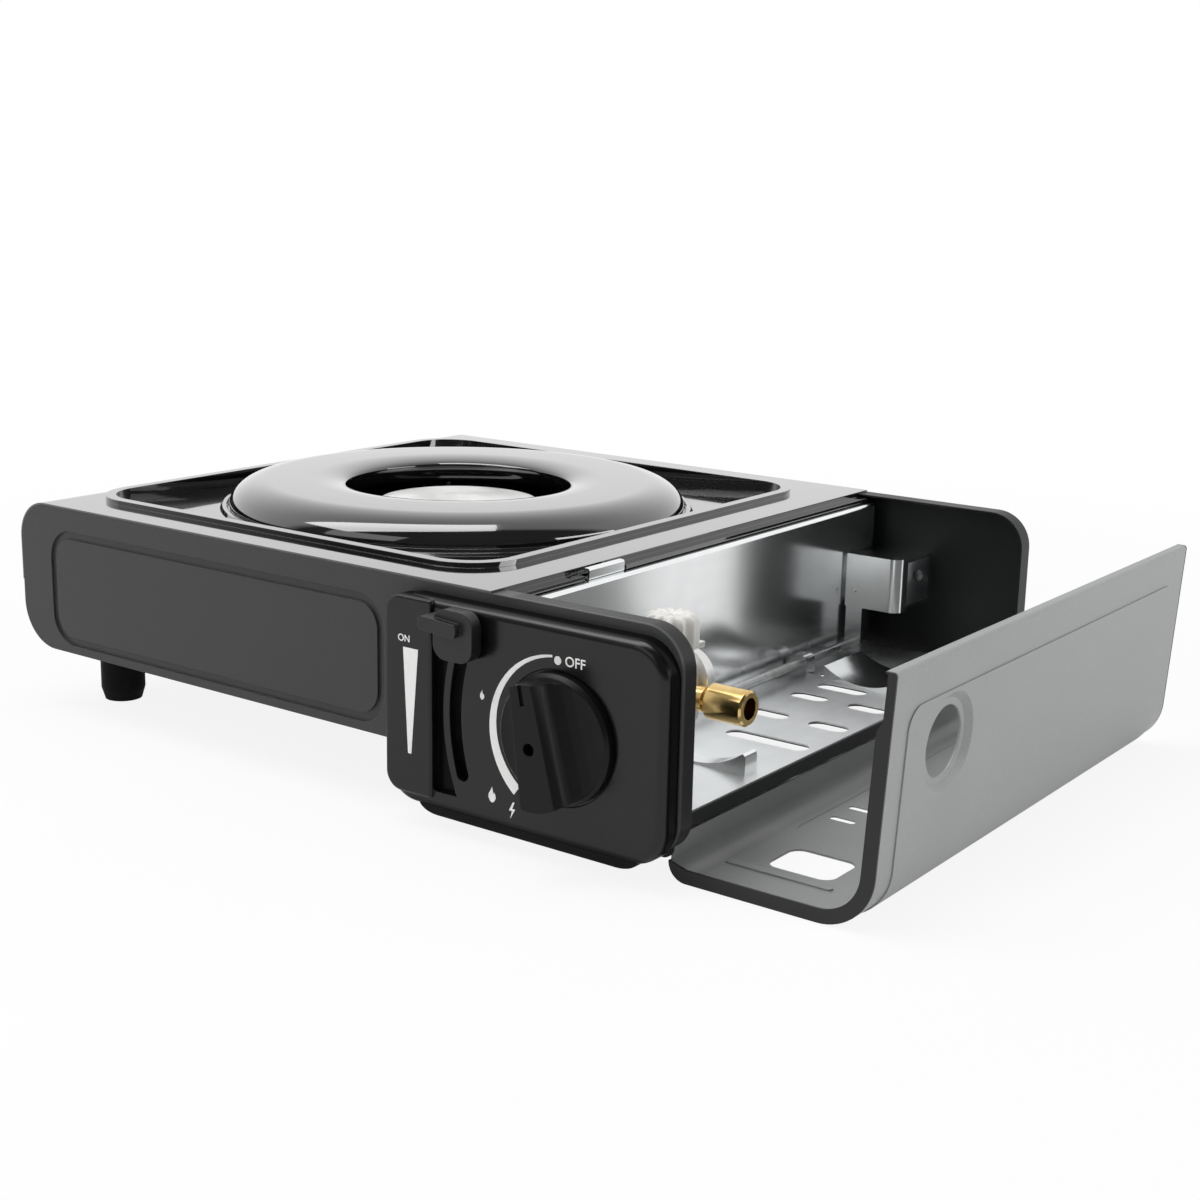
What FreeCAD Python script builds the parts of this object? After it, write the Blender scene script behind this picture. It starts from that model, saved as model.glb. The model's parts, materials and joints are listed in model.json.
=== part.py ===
import FreeCAD, Part
import math
import os

# Butane cassette stove, millimetres. X right, Y back, Z up; z = 0 is the table it stands on.
# Sizes are given from the stove's own corner (x = 0 at the left side, y = 0 at the front face);
# the last step moves the whole stove so that the origin lies under the middle of its outline.

V = FreeCAD.Vector

# ---- sheets and clearances ----
SHEET = 0.8              # painted body sheet
LINER = 0.6              # galvanised inner sheet
FIT = 0.3                # air between pieces that move past each other
SEAM = 0.2               # air between neighbouring sheets of the body
RUNNING = 0.06           # radial clearance of a shaft in its hole

# ---- what the stove is built round ----
PAN_R = 100.0            # pan support
CARTRIDGE_R = 33.8
BAY_AIR = 2.4            # round the cartridge
LEDGE_W = 5.0            # ledge of the cover, beside the bay

# ---- sheet-metal body ----
RECESS_HALF_X = PAN_R + 11.0     # to the outside of the raised ridge
RECESS_HALF_Y = PAN_R + 18.0
BURNER_X = RECESS_HALF_X + 19.0
COVER_END_X = BURNER_X + RECESS_HALF_X + 20.0    # where the cover steps down to its ledge
SHIELD_X = COVER_END_X + LEDGE_W + 3.6           # bay face of the heat shield
BODY_W = SHIELD_X + 2 * (CARTRIDGE_R + BAY_AIR)
BODY_D = 2 * (RECESS_HALF_Y + 18.0)
BURNER_Y = BODY_D / 2
TOP_Z = 91.0             # top face of the cover
BELLY_Z = 28.0           # underside on the burner side
BAY_Z = 20.2             # underside of the cartridge bay
BAY_TOP_Z = BAY_Z + SHEET + LINER
CARTRIDGE_X = SHIELD_X + BAY_AIR + CARTRIDGE_R
CARTRIDGE_Z = BAY_TOP_Z + 1.1 + CARTRIDGE_R
PLATE_LOW_Z = 11.5       # lowest edge of the end plates, below the bay
PLATE_STEP_X = SHIELD_X - 45.6   # where the end plates step down
PLATE_TOP_Z = TOP_Z - SHEET
RIM = 8.0                # depth of the flange round each end plate
TOP_R = 16.0             # upper corners of the body
BELLY_R = 19.0           # lower left corner
BAY_R = 12.0             # lower right corner
LEDGE_DROP = 2.1
LEDGE_LIP = 1.6
COVER_SKIRT_Z = 56.0     # lower edge of the cover on the left side
TRAY_WALL_Z = 63.0       # upper edge of the tray's left wall
TRAY_STEP_X = SHIELD_X - 41.6
TRAY_STEP_RUN = 7.0
SILL_X = BODY_W - 8.0    # outer face of the tray's sill flange
SILL_DROP = 4.4
VENT_ROWS = 4            # air slots under the burner
VENT_L = 35.0
VENT_W = 5.0
VENT_PITCH_X = 52.0
VENT_PITCH_Y = 38.0

# ---- pressed frame in the end plates ----
PRESS_X0 = 20.0
PRESS_X1 = SHIELD_X - 58.6
PRESS_Z0 = 31.5
PRESS_Z1 = 81.0
PRESS_R = 13.0
PRESS_W = 3.5
PRESS_DEEP = 1.1

# ---- recess for the pan support ----
RECESS_R = 24.0
RIDGE_H = 2.0
RIDGE_W = 4.5
RECESS_FLOOR = 6.4       # depth of the recess below the cover
SHELF_W = 12.0           # shelf that carries the drip tray

# ---- drip tray and burner ----
BOWL_R = PAN_R - 8.0
BOWL_DEEP = 24.0
BOWL_BASE_R = PAN_R - 34.0
BOWL_HOLE_R = 30.0
BOWL_BEND = 8.0
SEAT_RING_W = 4.0        # raised ring that keeps the pan support in the middle
SEAT_RING_H = 1.6
CAP_R = 36.5
CAP_TOP_Z = TOP_Z - 2.0
CAP_T = 7.0
CAP_BROW_W = 5.0
CAP_BROW_H = 2.2
PORTS = 30
PORT_W = 1.5
HEAD_R = CAP_R - 3.5
HEAD_H = 13.0
STEM_R = 14.0
TUBE_R = 9.0
TUBE_WALL = 1.4
TUBE_GAP = 2.0           # air between the drip tray's bowl and the mixing tube
TUBE_END_X = SHIELD_X - 13.6
TUBE_END_Y = 62.0
STEM_FOOT = 2.5          # stem below the mixing tube
BOWL_UNDER_Z = TOP_Z - RECESS_FLOOR - BOWL_DEEP
TUBE_Z = BOWL_UNDER_Z - TUBE_GAP - TUBE_R
STEM_Z = TUBE_Z - TUBE_R - STEM_FOOT
STRAP = 1.5
PIPE_R = 2.4
ELECTRODE_GAP = 7.0      # from the crown's edge to the spark electrode
WIRE_R = 0.8

# ---- pan support, stored upside down ----
PAN_HOLE_R = 49.5
PAN_T = 1.0
PAN_H = 12.6             # from the rolled edge it stands on to its crown
PAN_HOLE_DROP = 3.3      # from the crown to the edge of the hole
PAN_LIP = 7.0
PAN_ROLL_R = 1.6
PAN_ROLL_SIDES = 6
PAN_SHOULDER_W = 17.0    # from the outer edge to the flat of the crown
PAN_DISH_W = 15.0        # from the flat of the crown to the hole
PAN_FOOT_Z = TOP_Z - RECESS_FLOOR + 2 * SHEET    # face of the drip tray
PAN_CROWN_Z = PAN_FOOT_Z + PAN_H
PRONGS = 4
PRONG_T = 2.0
PRONG_R0 = PAN_HOLE_R + 10.5
PRONG_R1 = PAN_R - 18.0
PRONG_DROP = 21.0

# ---- cartridge bay ----
SHIELD_TOP_Z = TOP_Z - LEDGE_DROP - SHEET - LINER - 0.6
SHIELD_FOOT = 12.0
SLOT_W = 9.0
BAY_SLOTS = ((24.4, 60.4, 105.5), (14.4, 33.4, 136.0), (43.4, 60.4, 136.0), (16.4, 33.4, 168.0),
             (43.4, 60.4, 168.0), (18.4, 41.4, 186.5))   # from and to, measured from the shield; at y
TRAY_SLOT_GROW = 1.0     # how much larger the same slots are in the tray below
DRAIN_X = 13.7           # small round hole, measured from the shield
DRAIN_Y = 202.0
DRAIN_R = 3.3
CATCH_Y0 = 50.0
CATCH_L = 22.0

# ---- lid over the bay, resting open ----
LID_FLOOR = 0.2          # air under the open lid
HINGE_Z = 11.6
HINGE_X = BODY_W - SEAM + LID_FLOOR - HINGE_Z    # so that the closed lid is flush with the body's side
PIN_R = 2.0
KNUCKLE_R = 3.0
EAR_R = 4.0
EAR_CLEAR = 0.4          # air round the ear in the lid's root
EAR_T = 1.2
EAR_INSET = 0.4
EAR_Y = (RIM + SEAM + EAR_INSET, BODY_D - RIM - SEAM - EAR_INSET - EAR_T)
KNUCKLE_L = 18.0
KNUCKLE_Y = (EAR_Y[0] + EAR_T + FIT, EAR_Y[1] - FIT - KNUCKLE_L)
RISER_GAP = 2.4          # from the hinge axis to the lid's root strip, which covers the hinge
ROOT_R = 7.0             # bend from the root strip into the side panel
LID_H = 87.6             # height of the standing panel
LID_SHUT_Z = TOP_Z - 0.3         # top of the closed lid at the body's right side
LID_R = 20.0
LID_FLANGE = 5.0
LID_HEM = 4.0
LID_END_GAP = 0.5
LID_Y0 = RIM + LID_END_GAP
LID_Y1 = BODY_D - RIM - LID_END_GAP
LID_TAPER = 68.0         # height above which the end flange narrows
LID_NARROW = 3.0
LID_OUT_X = HINGE_X - HINGE_Z + LID_SHUT_Z       # outer face of the standing panel at its root
# the hem rests on the cover when the lid is shut
LID_LEAN = math.atan((TOP_Z + FIT + LID_HEM - LID_SHUT_Z) / (LID_H - LID_FLOOR))
SILL_AIR = 1.0           # between the sill and the root strip that swings under it
LID_ROOT_Z = BAY_Z - SILL_DROP - SILL_AIR
WINDOW_X0 = HINGE_X + 21.6
WINDOW_L = 26.0
WINDOW_Y0 = 39.5
WINDOW_Y1 = 61.0
WINDOW_R = 5.0
SIGHT_Y = 51.0
SIGHT_Z = 55.0
SIGHT_R = 12.5
DISH_R = 17.5
DISH_DEEP = 1.6
FIELD_H = 0.5            # field pressed outward in the top panel
FIELD_INSET_Y = 11.5
FIELD_TOP_Z = 73.6
FIELD_R = 8.0
PAD_DEEP = 0.3           # shallow field pressed into the side panel
PAD_X0 = HINGE_X + 11.6
PAD_Y0 = 73.0
PAD_END_Y = 20.0
LID_SLOT_X0 = HINGE_X + 15.4
LID_SLOT_L = 10.6
LID_SLOT_W = 3.6
LID_SLOT_Y = (96.8, 111.2)
LID_BEAD_X = (HINGE_X + 10.0, HINGE_X + 52.0)
LID_BEAD_Y = 33.5
LID_BEAD_W = 3.0
LID_BEAD_H = 0.7

# ---- control fascia ----
FASCIA_X0 = SHIELD_X - 51.6
FASCIA_X1 = BODY_W - 0.6
FASCIA_Z0 = 9.0
FASCIA_Z1 = TOP_Z - 4.4
FASCIA_D = 8.0
FASCIA_R = 14.0
FASCIA_WALL = 2.2
FASCIA_ROUND = 3.6
STRIP_X1 = FASCIA_X0 + 24.0
STRIP_Z0 = FASCIA_Z0 + 4.0
STRIP_RISE = 1.5
STRIP_R = 7.0
STRIP_ROUND = 1.2
VALLEY_BEYOND = 5.6      # from the slot's middle line to the hollow beside the raised strip
VALLEY_DEEP = 2.4
VALLEY_FLOOR = 1.0
VALLEY_EDGE = 1.4        # land round the hollow, behind the face

# ---- knob ----
KNOB_X = SHIELD_X + 28.1
KNOB_Z = 47.0
KNOB_R = 23.2
KNOB_WELL = 0.6
KNOB_DISC_T = 4.0
GRIP_H = 12.5
GRIP_TOP_W = 9.0         # face of the grip, at its pointer end
GRIP_TAIL_W = 14.5       # and at its other end
GRIP_SCOOP_R = 11.5      # width of the scooped flank
SCOOP_STEPS = 5
GRIP_LEAN = 11.0         # degrees the pointer stands left of upright at OFF
GRIP_HOLE_R = 2.3
NOTCH_W = 1.8
NOTCH_L = 7.0
NOTCH_DEEP = 1.0
KNOB_BACK_Y = -FASCIA_D + KNOB_WELL - FIT
KNOB_FACE_Y = KNOB_BACK_Y - KNOB_DISC_T
GRIP_FRONT_Y = KNOB_FACE_Y - GRIP_H
SPINDLE_R = 4.0
SPINDLE_END_Y = 15.0
SPINDLE_TIP_Y = GRIP_FRONT_Y + 7.0

# ---- fuel lock lever ----
LEVER_X = KNOB_X + 26.3
LEVER_Z = KNOB_Z
LEVER_SLOT_R = 72.0
LEVER_UP = 24.5          # degrees above level at rest
LEVER_DOWN = 15.5        # degrees below level when locked
LEVER_SLOT_W = 5.4
LEVER_CLEAR = 3.0        # air between the lever's arch and the spindle
LEVER_ARCH_W = 8.0
LEVER_MOUTH = 70.0       # degrees below level to which the arch stays open
LEVER_T = 1.6
LEVER_PIN_R = 3.0
LEVER_FACE_Y = -4.2
TAB_W = 17.5             # block over the slot
TAB_H = 18.0
TAB_T = 5.0
TAB_R = 5.5
TAB_SHIFT = 2.0          # block's middle, left of the slot's
HANDLE_REACH = 15.5      # of the finger plate, left of the slot
HANDLE_H = 5.0
HANDLE_T = 7.6
HANDLE_TILT = 4.0

# ---- regulator ----
REG_R = 19.0
REG_Y0 = 9.3
REG_Y1 = 40.0
REG_BACK_Y = 50.0
SOCKET_Y1 = 60.0
SOCKET_R = 11.0
SOCKET_BORE_R = 6.0
INLET_Y = 45.0
INLET_Z = 53.5
INLET_R = 6.5
INLET_NECK_R = 4.6
INLET_BORE_R = 4.0
INLET_NECK_X = BODY_W - 17.0
INLET_TIP_X = BODY_W - 1.6
INLET_ROOT_X = INLET_NECK_X - 9.0
DOME_X = BODY_W - 25.0
DOME_Y = 30.0
DOME_R = 12.0
DOME_H = 21.0
DOME_FINS = 4

# ---- pusher ----
ROD_X = SHIELD_X + 5.9
ROD_Z = BAY_TOP_Z + 6.0
ROD_R = 2.0
PUSHER_TRAVEL = 10.0
ROD_Y0 = PUSHER_TRAVEL + 4.0      # the rod comes this much nearer the front panel
PUSHER_Y = BODY_D - 34.0
PUSHER_T = 1.2
PUSHER_LOW = 12.5        # below the cartridge's axis
PUSHER_HIGH = 11.5       # above it
PUSHER_X0 = SHIELD_X + 1.2
PUSHER_X1 = SHIELD_X + 27.5
PUSHER_FOLD = 8.0
PUSHER_BEND = 5.0
PUSHER_RIVET_R = 1.8
BRACKET_RIVET_R = 2.6
BRACKET_RIVET_H = 1.6
GUIDE_Y = (78.0, BODY_D - 82.0)
GUIDE_L = 7.0
CRADLE_H = 8.0
CRADLE_X0 = CARTRIDGE_X - 19.0
CRADLE_X1 = CARTRIDGE_X + 22.0
CRADLE_Y = ((64.0, 72.0), (BODY_D - 79.0, BODY_D - 46.0))

# ---- feet and screws ----
FOOT_R = 9.5
FOOT_TAPER = 1.5
FOOT_INSET_X = 23.0
FOOT_INSET_Y = 33.0
FOOT_BAY_X = BODY_W - 30.0
SCREW_R = 3.2
SCREW_HEAD = 1.6
SCREW_CHAMFER = 0.9
SCREW_Z = (COVER_SKIRT_Z + TRAY_WALL_Z) / 2
SCREW_INSET_Y = 40.0


# ---- shapes ----
def on_xz(y):
    return lambda u, v: V(u, y, v)


def on_xy(z):
    return lambda u, v: V(u, v, z)


def on_yz(x):
    return lambda u, v: V(x, u, v)


def rounded(points, place):
    """Flat face with corners (u, v, radius)."""
    count = len(points)
    ends = []
    for i in range(count):
        u, v, r = points[i]
        here = V(u, v, 0)
        back = V(points[i - 1][0], points[i - 1][1], 0) - here
        ahead = V(points[(i + 1) % count][0], points[(i + 1) % count][1], 0) - here
        back.normalize()
        ahead.normalize()
        half = back.getAngle(ahead) / 2
        if r <= 0 or abs(half - math.pi / 2) < 1e-6:
            ends.append((here, None, here))
            continue
        reach = r / math.tan(half)
        middle = back + ahead
        middle.normalize()
        belly = here + middle * (r / math.sin(half) - r)
        ends.append((here + back * reach, belly, here + ahead * reach))
    edges = []
    for i in range(count):
        first, belly, last = (place(p.x, p.y) if p is not None else None for p in ends[i])
        start = ends[(i + 1) % count][0]
        start = place(start.x, start.y)
        if belly is not None:
            edges.append(Part.Arc(first, belly, last).toShape())
        if (start - last).Length > 1e-6:
            edges.append(Part.LineSegment(last, start).toShape())
    return Part.Face(Part.Wire(edges))


def rectangle(u0, v0, u1, v1, r):
    return [(u0, v0, r), (u1, v0, r), (u1, v1, r), (u0, v1, r)]


def slot(u0, v0, u1, v1):
    """Oblong hole along u."""
    return rectangle(u0, v0, u1, v1, (v1 - v0) / 2 - 0.001)


def block(x0, y0, z0, x1, y1, z1):
    return Part.makeBox(x1 - x0, y1 - y0, z1 - z0, V(x0, y0, z0))


def bar(points, y0, y1):
    """XZ outline extruded along Y."""
    return rounded(points, on_xz(y0)).extrude(V(0, y1 - y0, 0))


def plate(points, z0, z1):
    """XY outline extruded along Z."""
    return rounded(points, on_xy(z0)).extrude(V(0, 0, z1 - z0))


def post(x, z, r, y0, y1):
    return Part.makeCylinder(r, y1 - y0, V(x, y0, z), V(0, 1, 0))


def column(x, y, r, z0, z1):
    return Part.makeCylinder(r, z1 - z0, V(x, y, z0), V(0, 0, 1))


def turned(points, x, y):
    """Solid of revolution about a vertical line; points are (radius, z, corner radius)."""
    face = rounded([(x + r, z, c) for r, z, c in points], on_xz(y))
    return face.revolve(V(x, y, 0), V(0, 0, 1), 360)


def turned_y(points, x, z):
    """Solid of revolution about a line along Y; points are (y, radius, corner radius)."""
    face = rounded([(y, z + r, c) for y, r, c in points], on_yz(x))
    return face.revolve(V(x, 0, z), V(0, 1, 0), 360)


def turned_x(points, y, z):
    """Solid of revolution about a line along X; points are (x, radius, corner radius)."""
    face = rounded([(x, z + r, c) for x, r, c in points], on_xz(y))
    return face.revolve(V(0, y, z), V(1, 0, 0), 360)


def quarter(u0, v0, u1, v1, steps):
    """Points of a quarter ellipse that leaves (u0, v0) along v and reaches (u1, v1) along u."""
    turns = [math.pi / 2 * i / steps for i in range(steps + 1)]
    return [(u1 + (u0 - u1) * math.cos(a), v0 + (v1 - v0) * math.sin(a), 0) for a in turns]


def sheet_back(path, t, side=1):
    """Second face of a bent sheet: path corners (u, v, radius) moved by t to the left (1) or right (-1)."""
    count = len(path)
    normals = []
    for i in range(count - 1):
        du = path[i + 1][0] - path[i][0]
        dv = path[i + 1][1] - path[i][1]
        size = math.hypot(du, dv)
        normals.append((-dv / size * side, du / size * side))
    back = []
    for i in range(count):
        u, v, r = path[i]
        if i in (0, count - 1):
            n = normals[0 if i == 0 else -1]
            back.append((u + n[0] * t, v + n[1] * t, 0))
            continue
        a, b = normals[i - 1], normals[i]
        scale = t / (1 + a[0] * b[0] + a[1] * b[1])
        turn = (a[0] * b[1] - a[1] * b[0]) * side
        bend = max(r - t, 0) if turn > 0 else (r + t if r > 0 else 0)
        back.append((u + (a[0] + b[0]) * scale, v + (a[1] + b[1]) * scale, bend))
    return back


def strip(path, t, side=1):
    """Outline of a bent sheet of thickness t."""
    return list(path) + sheet_back(path, t, side)[::-1]


def spin(shape, x, z, degrees):
    """Turn a shape about a line along Y; positive lifts what lies to the left."""
    turned_shape = shape.copy()
    turned_shape.rotate(V(x, 0, z), V(0, 1, 0), degrees)
    return turned_shape


def fuse(shapes):
    shapes = list(shapes)
    joined = shapes[0]
    for shape in shapes[1:]:
        joined = joined.fuse(shape)
    return joined.removeSplitter()


def bent_rod(points, bend, r):
    """Round rod or pipe of radius r through the points, with one bend radius."""
    edges = []
    last = points[0]
    for before, here, after in zip(points, points[1:], points[2:]):
        back = before - here
        ahead = after - here
        back.normalize()
        ahead.normalize()
        half = back.getAngle(ahead) / 2
        reach = bend / math.tan(half)
        middle = back + ahead
        middle.normalize()
        first = here + back * reach
        belly = here + middle * (bend / math.sin(half) - bend)
        edges.append(Part.LineSegment(last, first).toShape())
        edges.append(Part.Arc(first, belly, here + ahead * reach).toShape())
        last = here + ahead * reach
    edges.append(Part.LineSegment(last, points[-1]).toShape())
    ring = Part.Wire([Part.makeCircle(r, points[0], points[1] - points[0])])
    return Part.Wire(edges).makePipeShell([ring], True, False)


def front_round(solid, y, r):
    """Round every edge that lies wholly in the plane y."""
    edges = [e for e in solid.Edges if all(abs(p.y - y) < 1e-4 for p in e.discretize(5))]
    return solid.makeFillet(r, edges)


# ---- body shell ----

def plate_outline():
    r = TOP_R - SHEET
    return [(SHEET, BELLY_Z, BELLY_R), (PLATE_STEP_X, BELLY_Z, 3.0), (PLATE_STEP_X, PLATE_LOW_Z, 6.0),
            (BODY_W, PLATE_LOW_Z, BAY_R), (BODY_W, PLATE_TOP_Z, r), (SHEET, PLATE_TOP_Z, r)]


def end_panel():
    """Dished plate with an inward flange and a pressed frame, face at y = 0."""
    face = rounded(plate_outline(), on_xz(0))
    inner = face.makeOffset2D(-SHEET)
    hollow = inner.extrude(V(0, RIM, 0))
    hollow.translate(V(0, SHEET, 0))
    panel = face.extrude(V(0, RIM, 0)).cut(hollow)
    outer = rectangle(PRESS_X0, PRESS_Z0, PRESS_X1, PRESS_Z1, PRESS_R)
    w = PRESS_W
    inside = rectangle(PRESS_X0 + w, PRESS_Z0 + w, PRESS_X1 - w, PRESS_Z1 - w, PRESS_R - w)
    bulge_out = rectangle(PRESS_X0 - SHEET, PRESS_Z0 - SHEET, PRESS_X1 + SHEET, PRESS_Z1 + SHEET, PRESS_R + SHEET)
    k = w + SHEET
    bulge_in = rectangle(PRESS_X0 + k, PRESS_Z0 + k, PRESS_X1 - k, PRESS_Z1 - k, PRESS_R - k)
    groove = bar(outer, -1, PRESS_DEEP).cut(bar(inside, -1, PRESS_DEEP))
    bulge = bar(bulge_out, SHEET / 2, PRESS_DEEP + SHEET).cut(bar(bulge_in, SHEET / 2, PRESS_DEEP + SHEET))
    return panel.fuse(bulge).cut(groove).removeSplitter()


def front_panel():
    panel = end_panel()
    panel = panel.cut(post(KNOB_X, KNOB_Z, SPINDLE_R + 2, -1, RIM))
    return panel.cut(post(LEVER_X, LEVER_Z, LEVER_PIN_R - 0.8, -1, RIM))


def back_panel():
    return end_panel().mirror(V(0, BODY_D / 2, 0), V(0, 1, 0))


def recess_outline(grow):
    return rectangle(BURNER_X - RECESS_HALF_X - grow, BURNER_Y - RECESS_HALF_Y - grow,
                     BURNER_X + RECESS_HALF_X + grow, BURNER_Y + RECESS_HALF_Y + grow, RECESS_R + grow)


def top_cover():
    path = [(0, COVER_SKIRT_Z, 0), (0, TOP_Z, TOP_R), (COVER_END_X, TOP_Z, 0),
            (COVER_END_X, TOP_Z - LEDGE_DROP, 0), (COVER_END_X + LEDGE_W, TOP_Z - LEDGE_DROP, 0),
            (COVER_END_X + LEDGE_W, TOP_Z - LEDGE_DROP - LEDGE_LIP, 0)]
    cover = bar(strip(path, SHEET, -1), SEAM, BODY_D - SEAM)
    cover = cover.cut(plate(recess_outline(0), TOP_Z - 5, TOP_Z + 5))
    top = TOP_Z + RIDGE_H
    floor = TOP_Z - RECESS_FLOOR
    ridge = plate(recess_outline(0), TOP_Z - SHEET, top)
    ridge = ridge.cut(plate(recess_outline(-SHEET), TOP_Z - 5, top - SHEET))
    ridge = ridge.cut(plate(recess_outline(-RIDGE_W), TOP_Z - 5, top + 1))
    inner_wall = plate(recess_outline(SHEET - RIDGE_W), floor, top)
    inner_wall = inner_wall.cut(plate(recess_outline(-RIDGE_W), floor + SHEET, top + 1))
    inner_wall = inner_wall.cut(plate(recess_outline(-RIDGE_W - SHELF_W), floor - 1, top + 1))
    cover = fuse([cover, ridge, inner_wall])
    low = TOP_Z - LEDGE_DROP - LEDGE_LIP - 1
    notch = block(COVER_END_X, CATCH_Y0 - 2, low, COVER_END_X + LEDGE_W + 2, CATCH_Y0 + CATCH_L + 2, TOP_Z - SHEET)
    front_end = block(COVER_END_X - 2, 0, low, COVER_END_X + LEDGE_W + 2, RIM + SEAM, TOP_Z - SHEET)
    back_end = block(COVER_END_X - 2, BODY_D - RIM - SEAM, low, COVER_END_X + LEDGE_W + 2, BODY_D, TOP_Z - SHEET)
    return cover.cut(Part.makeCompound([notch, front_end, back_end]))


def bay_slots(z0, z1, grow=0):
    """Oblong holes and a small round one through the bay floor."""
    half = SLOT_W / 2 + grow
    x = SHIELD_X
    cuts = [plate(slot(x + a - grow, y - half, x + b + grow, y + half), z0, z1) for a, b, y in BAY_SLOTS]
    return Part.makeCompound(cuts + [column(x + DRAIN_X, DRAIN_Y, DRAIN_R + grow, z0, z1)])


def belly_vents():
    """Air slots under the burner."""
    cuts = []
    half = VENT_W / 2
    for row in range(VENT_ROWS):
        y = BURNER_Y + (row - (VENT_ROWS - 1) / 2) * VENT_PITCH_Y
        for x in (BURNER_X - VENT_PITCH_X, BURNER_X, BURNER_X + VENT_PITCH_X):
            cuts.append(plate(slot(x - VENT_L / 2, y - half, x + VENT_L / 2, y + half), BELLY_Z - 1, BELLY_Z + 2))
    return Part.makeCompound(cuts)


def hinge_ear(y):
    lug = block(HINGE_X - 7, y, HINGE_Z, SILL_X - SHEET, y + EAR_T, BAY_Z + SHEET / 2)
    lug = lug.fuse(post(HINGE_X, HINGE_Z, EAR_R, y, y + EAR_T))
    return lug.cut(post(HINGE_X, HINGE_Z, PIN_R + RUNNING, y - 1, y + EAR_T + 1))


def bottom_tray():
    path = [(SHEET, TRAY_WALL_Z, 0), (SHEET, BELLY_Z, BELLY_R), (TRAY_STEP_X, BELLY_Z, 3.0),
            (TRAY_STEP_X + TRAY_STEP_RUN, BAY_Z, 3.0), (SILL_X - SHEET, BAY_Z, 0),
            (SILL_X - SHEET, BAY_Z - SILL_DROP, 0)]
    tray = bar(strip(path, SHEET, 1), RIM + SEAM, BODY_D - RIM - SEAM)
    tray = tray.cut(belly_vents()).cut(bay_slots(BAY_Z - 1, BAY_Z + 2, TRAY_SLOT_GROW))
    return fuse([tray] + [hinge_ear(y) for y in EAR_Y])


def bay_floor():
    z = BAY_Z + SHEET
    sheet = block(TRAY_STEP_X + TRAY_STEP_RUN + 4, RIM + SEAM, z, SILL_X - 0.6, BODY_D - RIM - SEAM, z + LINER)
    return sheet.cut(bay_slots(z - 1, z + 2))


def heat_shield():
    path = [(SHIELD_X - SHIELD_FOOT, BAY_TOP_Z, 0), (SHIELD_X, BAY_TOP_Z, 1.6), (SHIELD_X, SHIELD_TOP_Z, 1.6),
            (SHIELD_X - SHIELD_FOOT, SHIELD_TOP_Z, 0)]
    shield = bar(strip(path, LINER, 1), RIM + SEAM, BODY_D - RIM - SEAM)
    jet, corner, end = pipe_line()
    passage = Part.makeCylinder(PIPE_R + 2, (corner - jet).Length, jet, corner - jet)
    return shield.cut(passage)


def lid_catch():
    """Spring clip that stands in the notch of the ledge."""
    x0 = COVER_END_X + 1.0
    path = [(x0, SHIELD_TOP_Z, 0), (x0 + 4.6, SHIELD_TOP_Z, 0.9), (x0 + 4.6, TOP_Z + 0.4, 0.9),
            (x0 + 2.2, TOP_Z + 0.4, 0)]
    return bar(strip(path, LINER, 1), CATCH_Y0, CATCH_Y0 + CATCH_L)


# ---- burner side ----
def drip_tray():
    """Enamelled square plate with a deep round bowl and a ring that locates the pan support."""
    z = TOP_Z - RECESS_FLOOR + SHEET
    tray = plate(recess_outline(-RIDGE_W - FIT), z, z + SHEET)
    tray = tray.cut(column(BURNER_X, BURNER_Y, BOWL_R, z - 1, z + 2))
    low = z - BOWL_DEEP
    knee = BOWL_BEND / 2
    bend = quarter(BOWL_BASE_R + knee, low + BOWL_BEND, BOWL_BASE_R - knee, low, 2)
    path = [(BOWL_R + 2, z + SHEET, 0), (BOWL_R - 1, z + SHEET, 0)] + bend + [(BOWL_HOLE_R, low, 0)]
    bowl = turned(strip(path, SHEET, 1), BURNER_X, BURNER_Y)
    r0 = PAN_R + FIT
    top = z + SHEET + SEAT_RING_H
    ring = [(r0, z + SHEET / 2, 0), (r0 + SEAT_RING_W, z + SHEET / 2, 0), (r0 + SEAT_RING_W - 1.2, top, 0),
            (r0 + 1.2, top, 0)]
    tray = fuse([tray, bowl, turned(ring, BURNER_X, BURNER_Y)])
    for sx in (-1, 1):
        for sy in (-1, 1):
            x = BURNER_X + sx * (RECESS_HALF_X - 19)
            y = BURNER_Y + sy * (RECESS_HALF_Y - 15)
            tray = tray.cut(plate(slot(x - 7, y - 2, x + 7, y + 2), z - 1, z + 2))
    return tray


def pan_path():
    """Outer line of the dished ring, from its rolled edge to the lip of its hole."""
    hole_z = PAN_CROWN_Z - PAN_HOLE_DROP
    shoulder = quarter(PAN_R, PAN_FOOT_Z + PAN_ROLL_R, PAN_R - PAN_SHOULDER_W, PAN_CROWN_Z, 3)
    dish = quarter(PAN_HOLE_R, hole_z, PAN_HOLE_R + PAN_DISH_W, PAN_CROWN_Z, 2)
    return shoulder + dish[::-1] + [(PAN_HOLE_R + 0.6, hole_z - PAN_LIP, 0)]


def pan_support():
    ring = turned(strip(pan_path(), PAN_T, 1), BURNER_X, BURNER_Y)
    size = PAN_ROLL_R / math.cos(math.pi / PAN_ROLL_SIDES)
    turns = [math.pi / PAN_ROLL_SIDES * (2 * i + 1) for i in range(PAN_ROLL_SIDES)]
    r = PAN_R - PAN_ROLL_R
    edge = [(r + size * math.sin(a), PAN_FOOT_Z + PAN_ROLL_R - size * math.cos(a), 0) for a in turns]
    return ring.fuse(turned(edge, BURNER_X, BURNER_Y)).removeSplitter()


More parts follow.
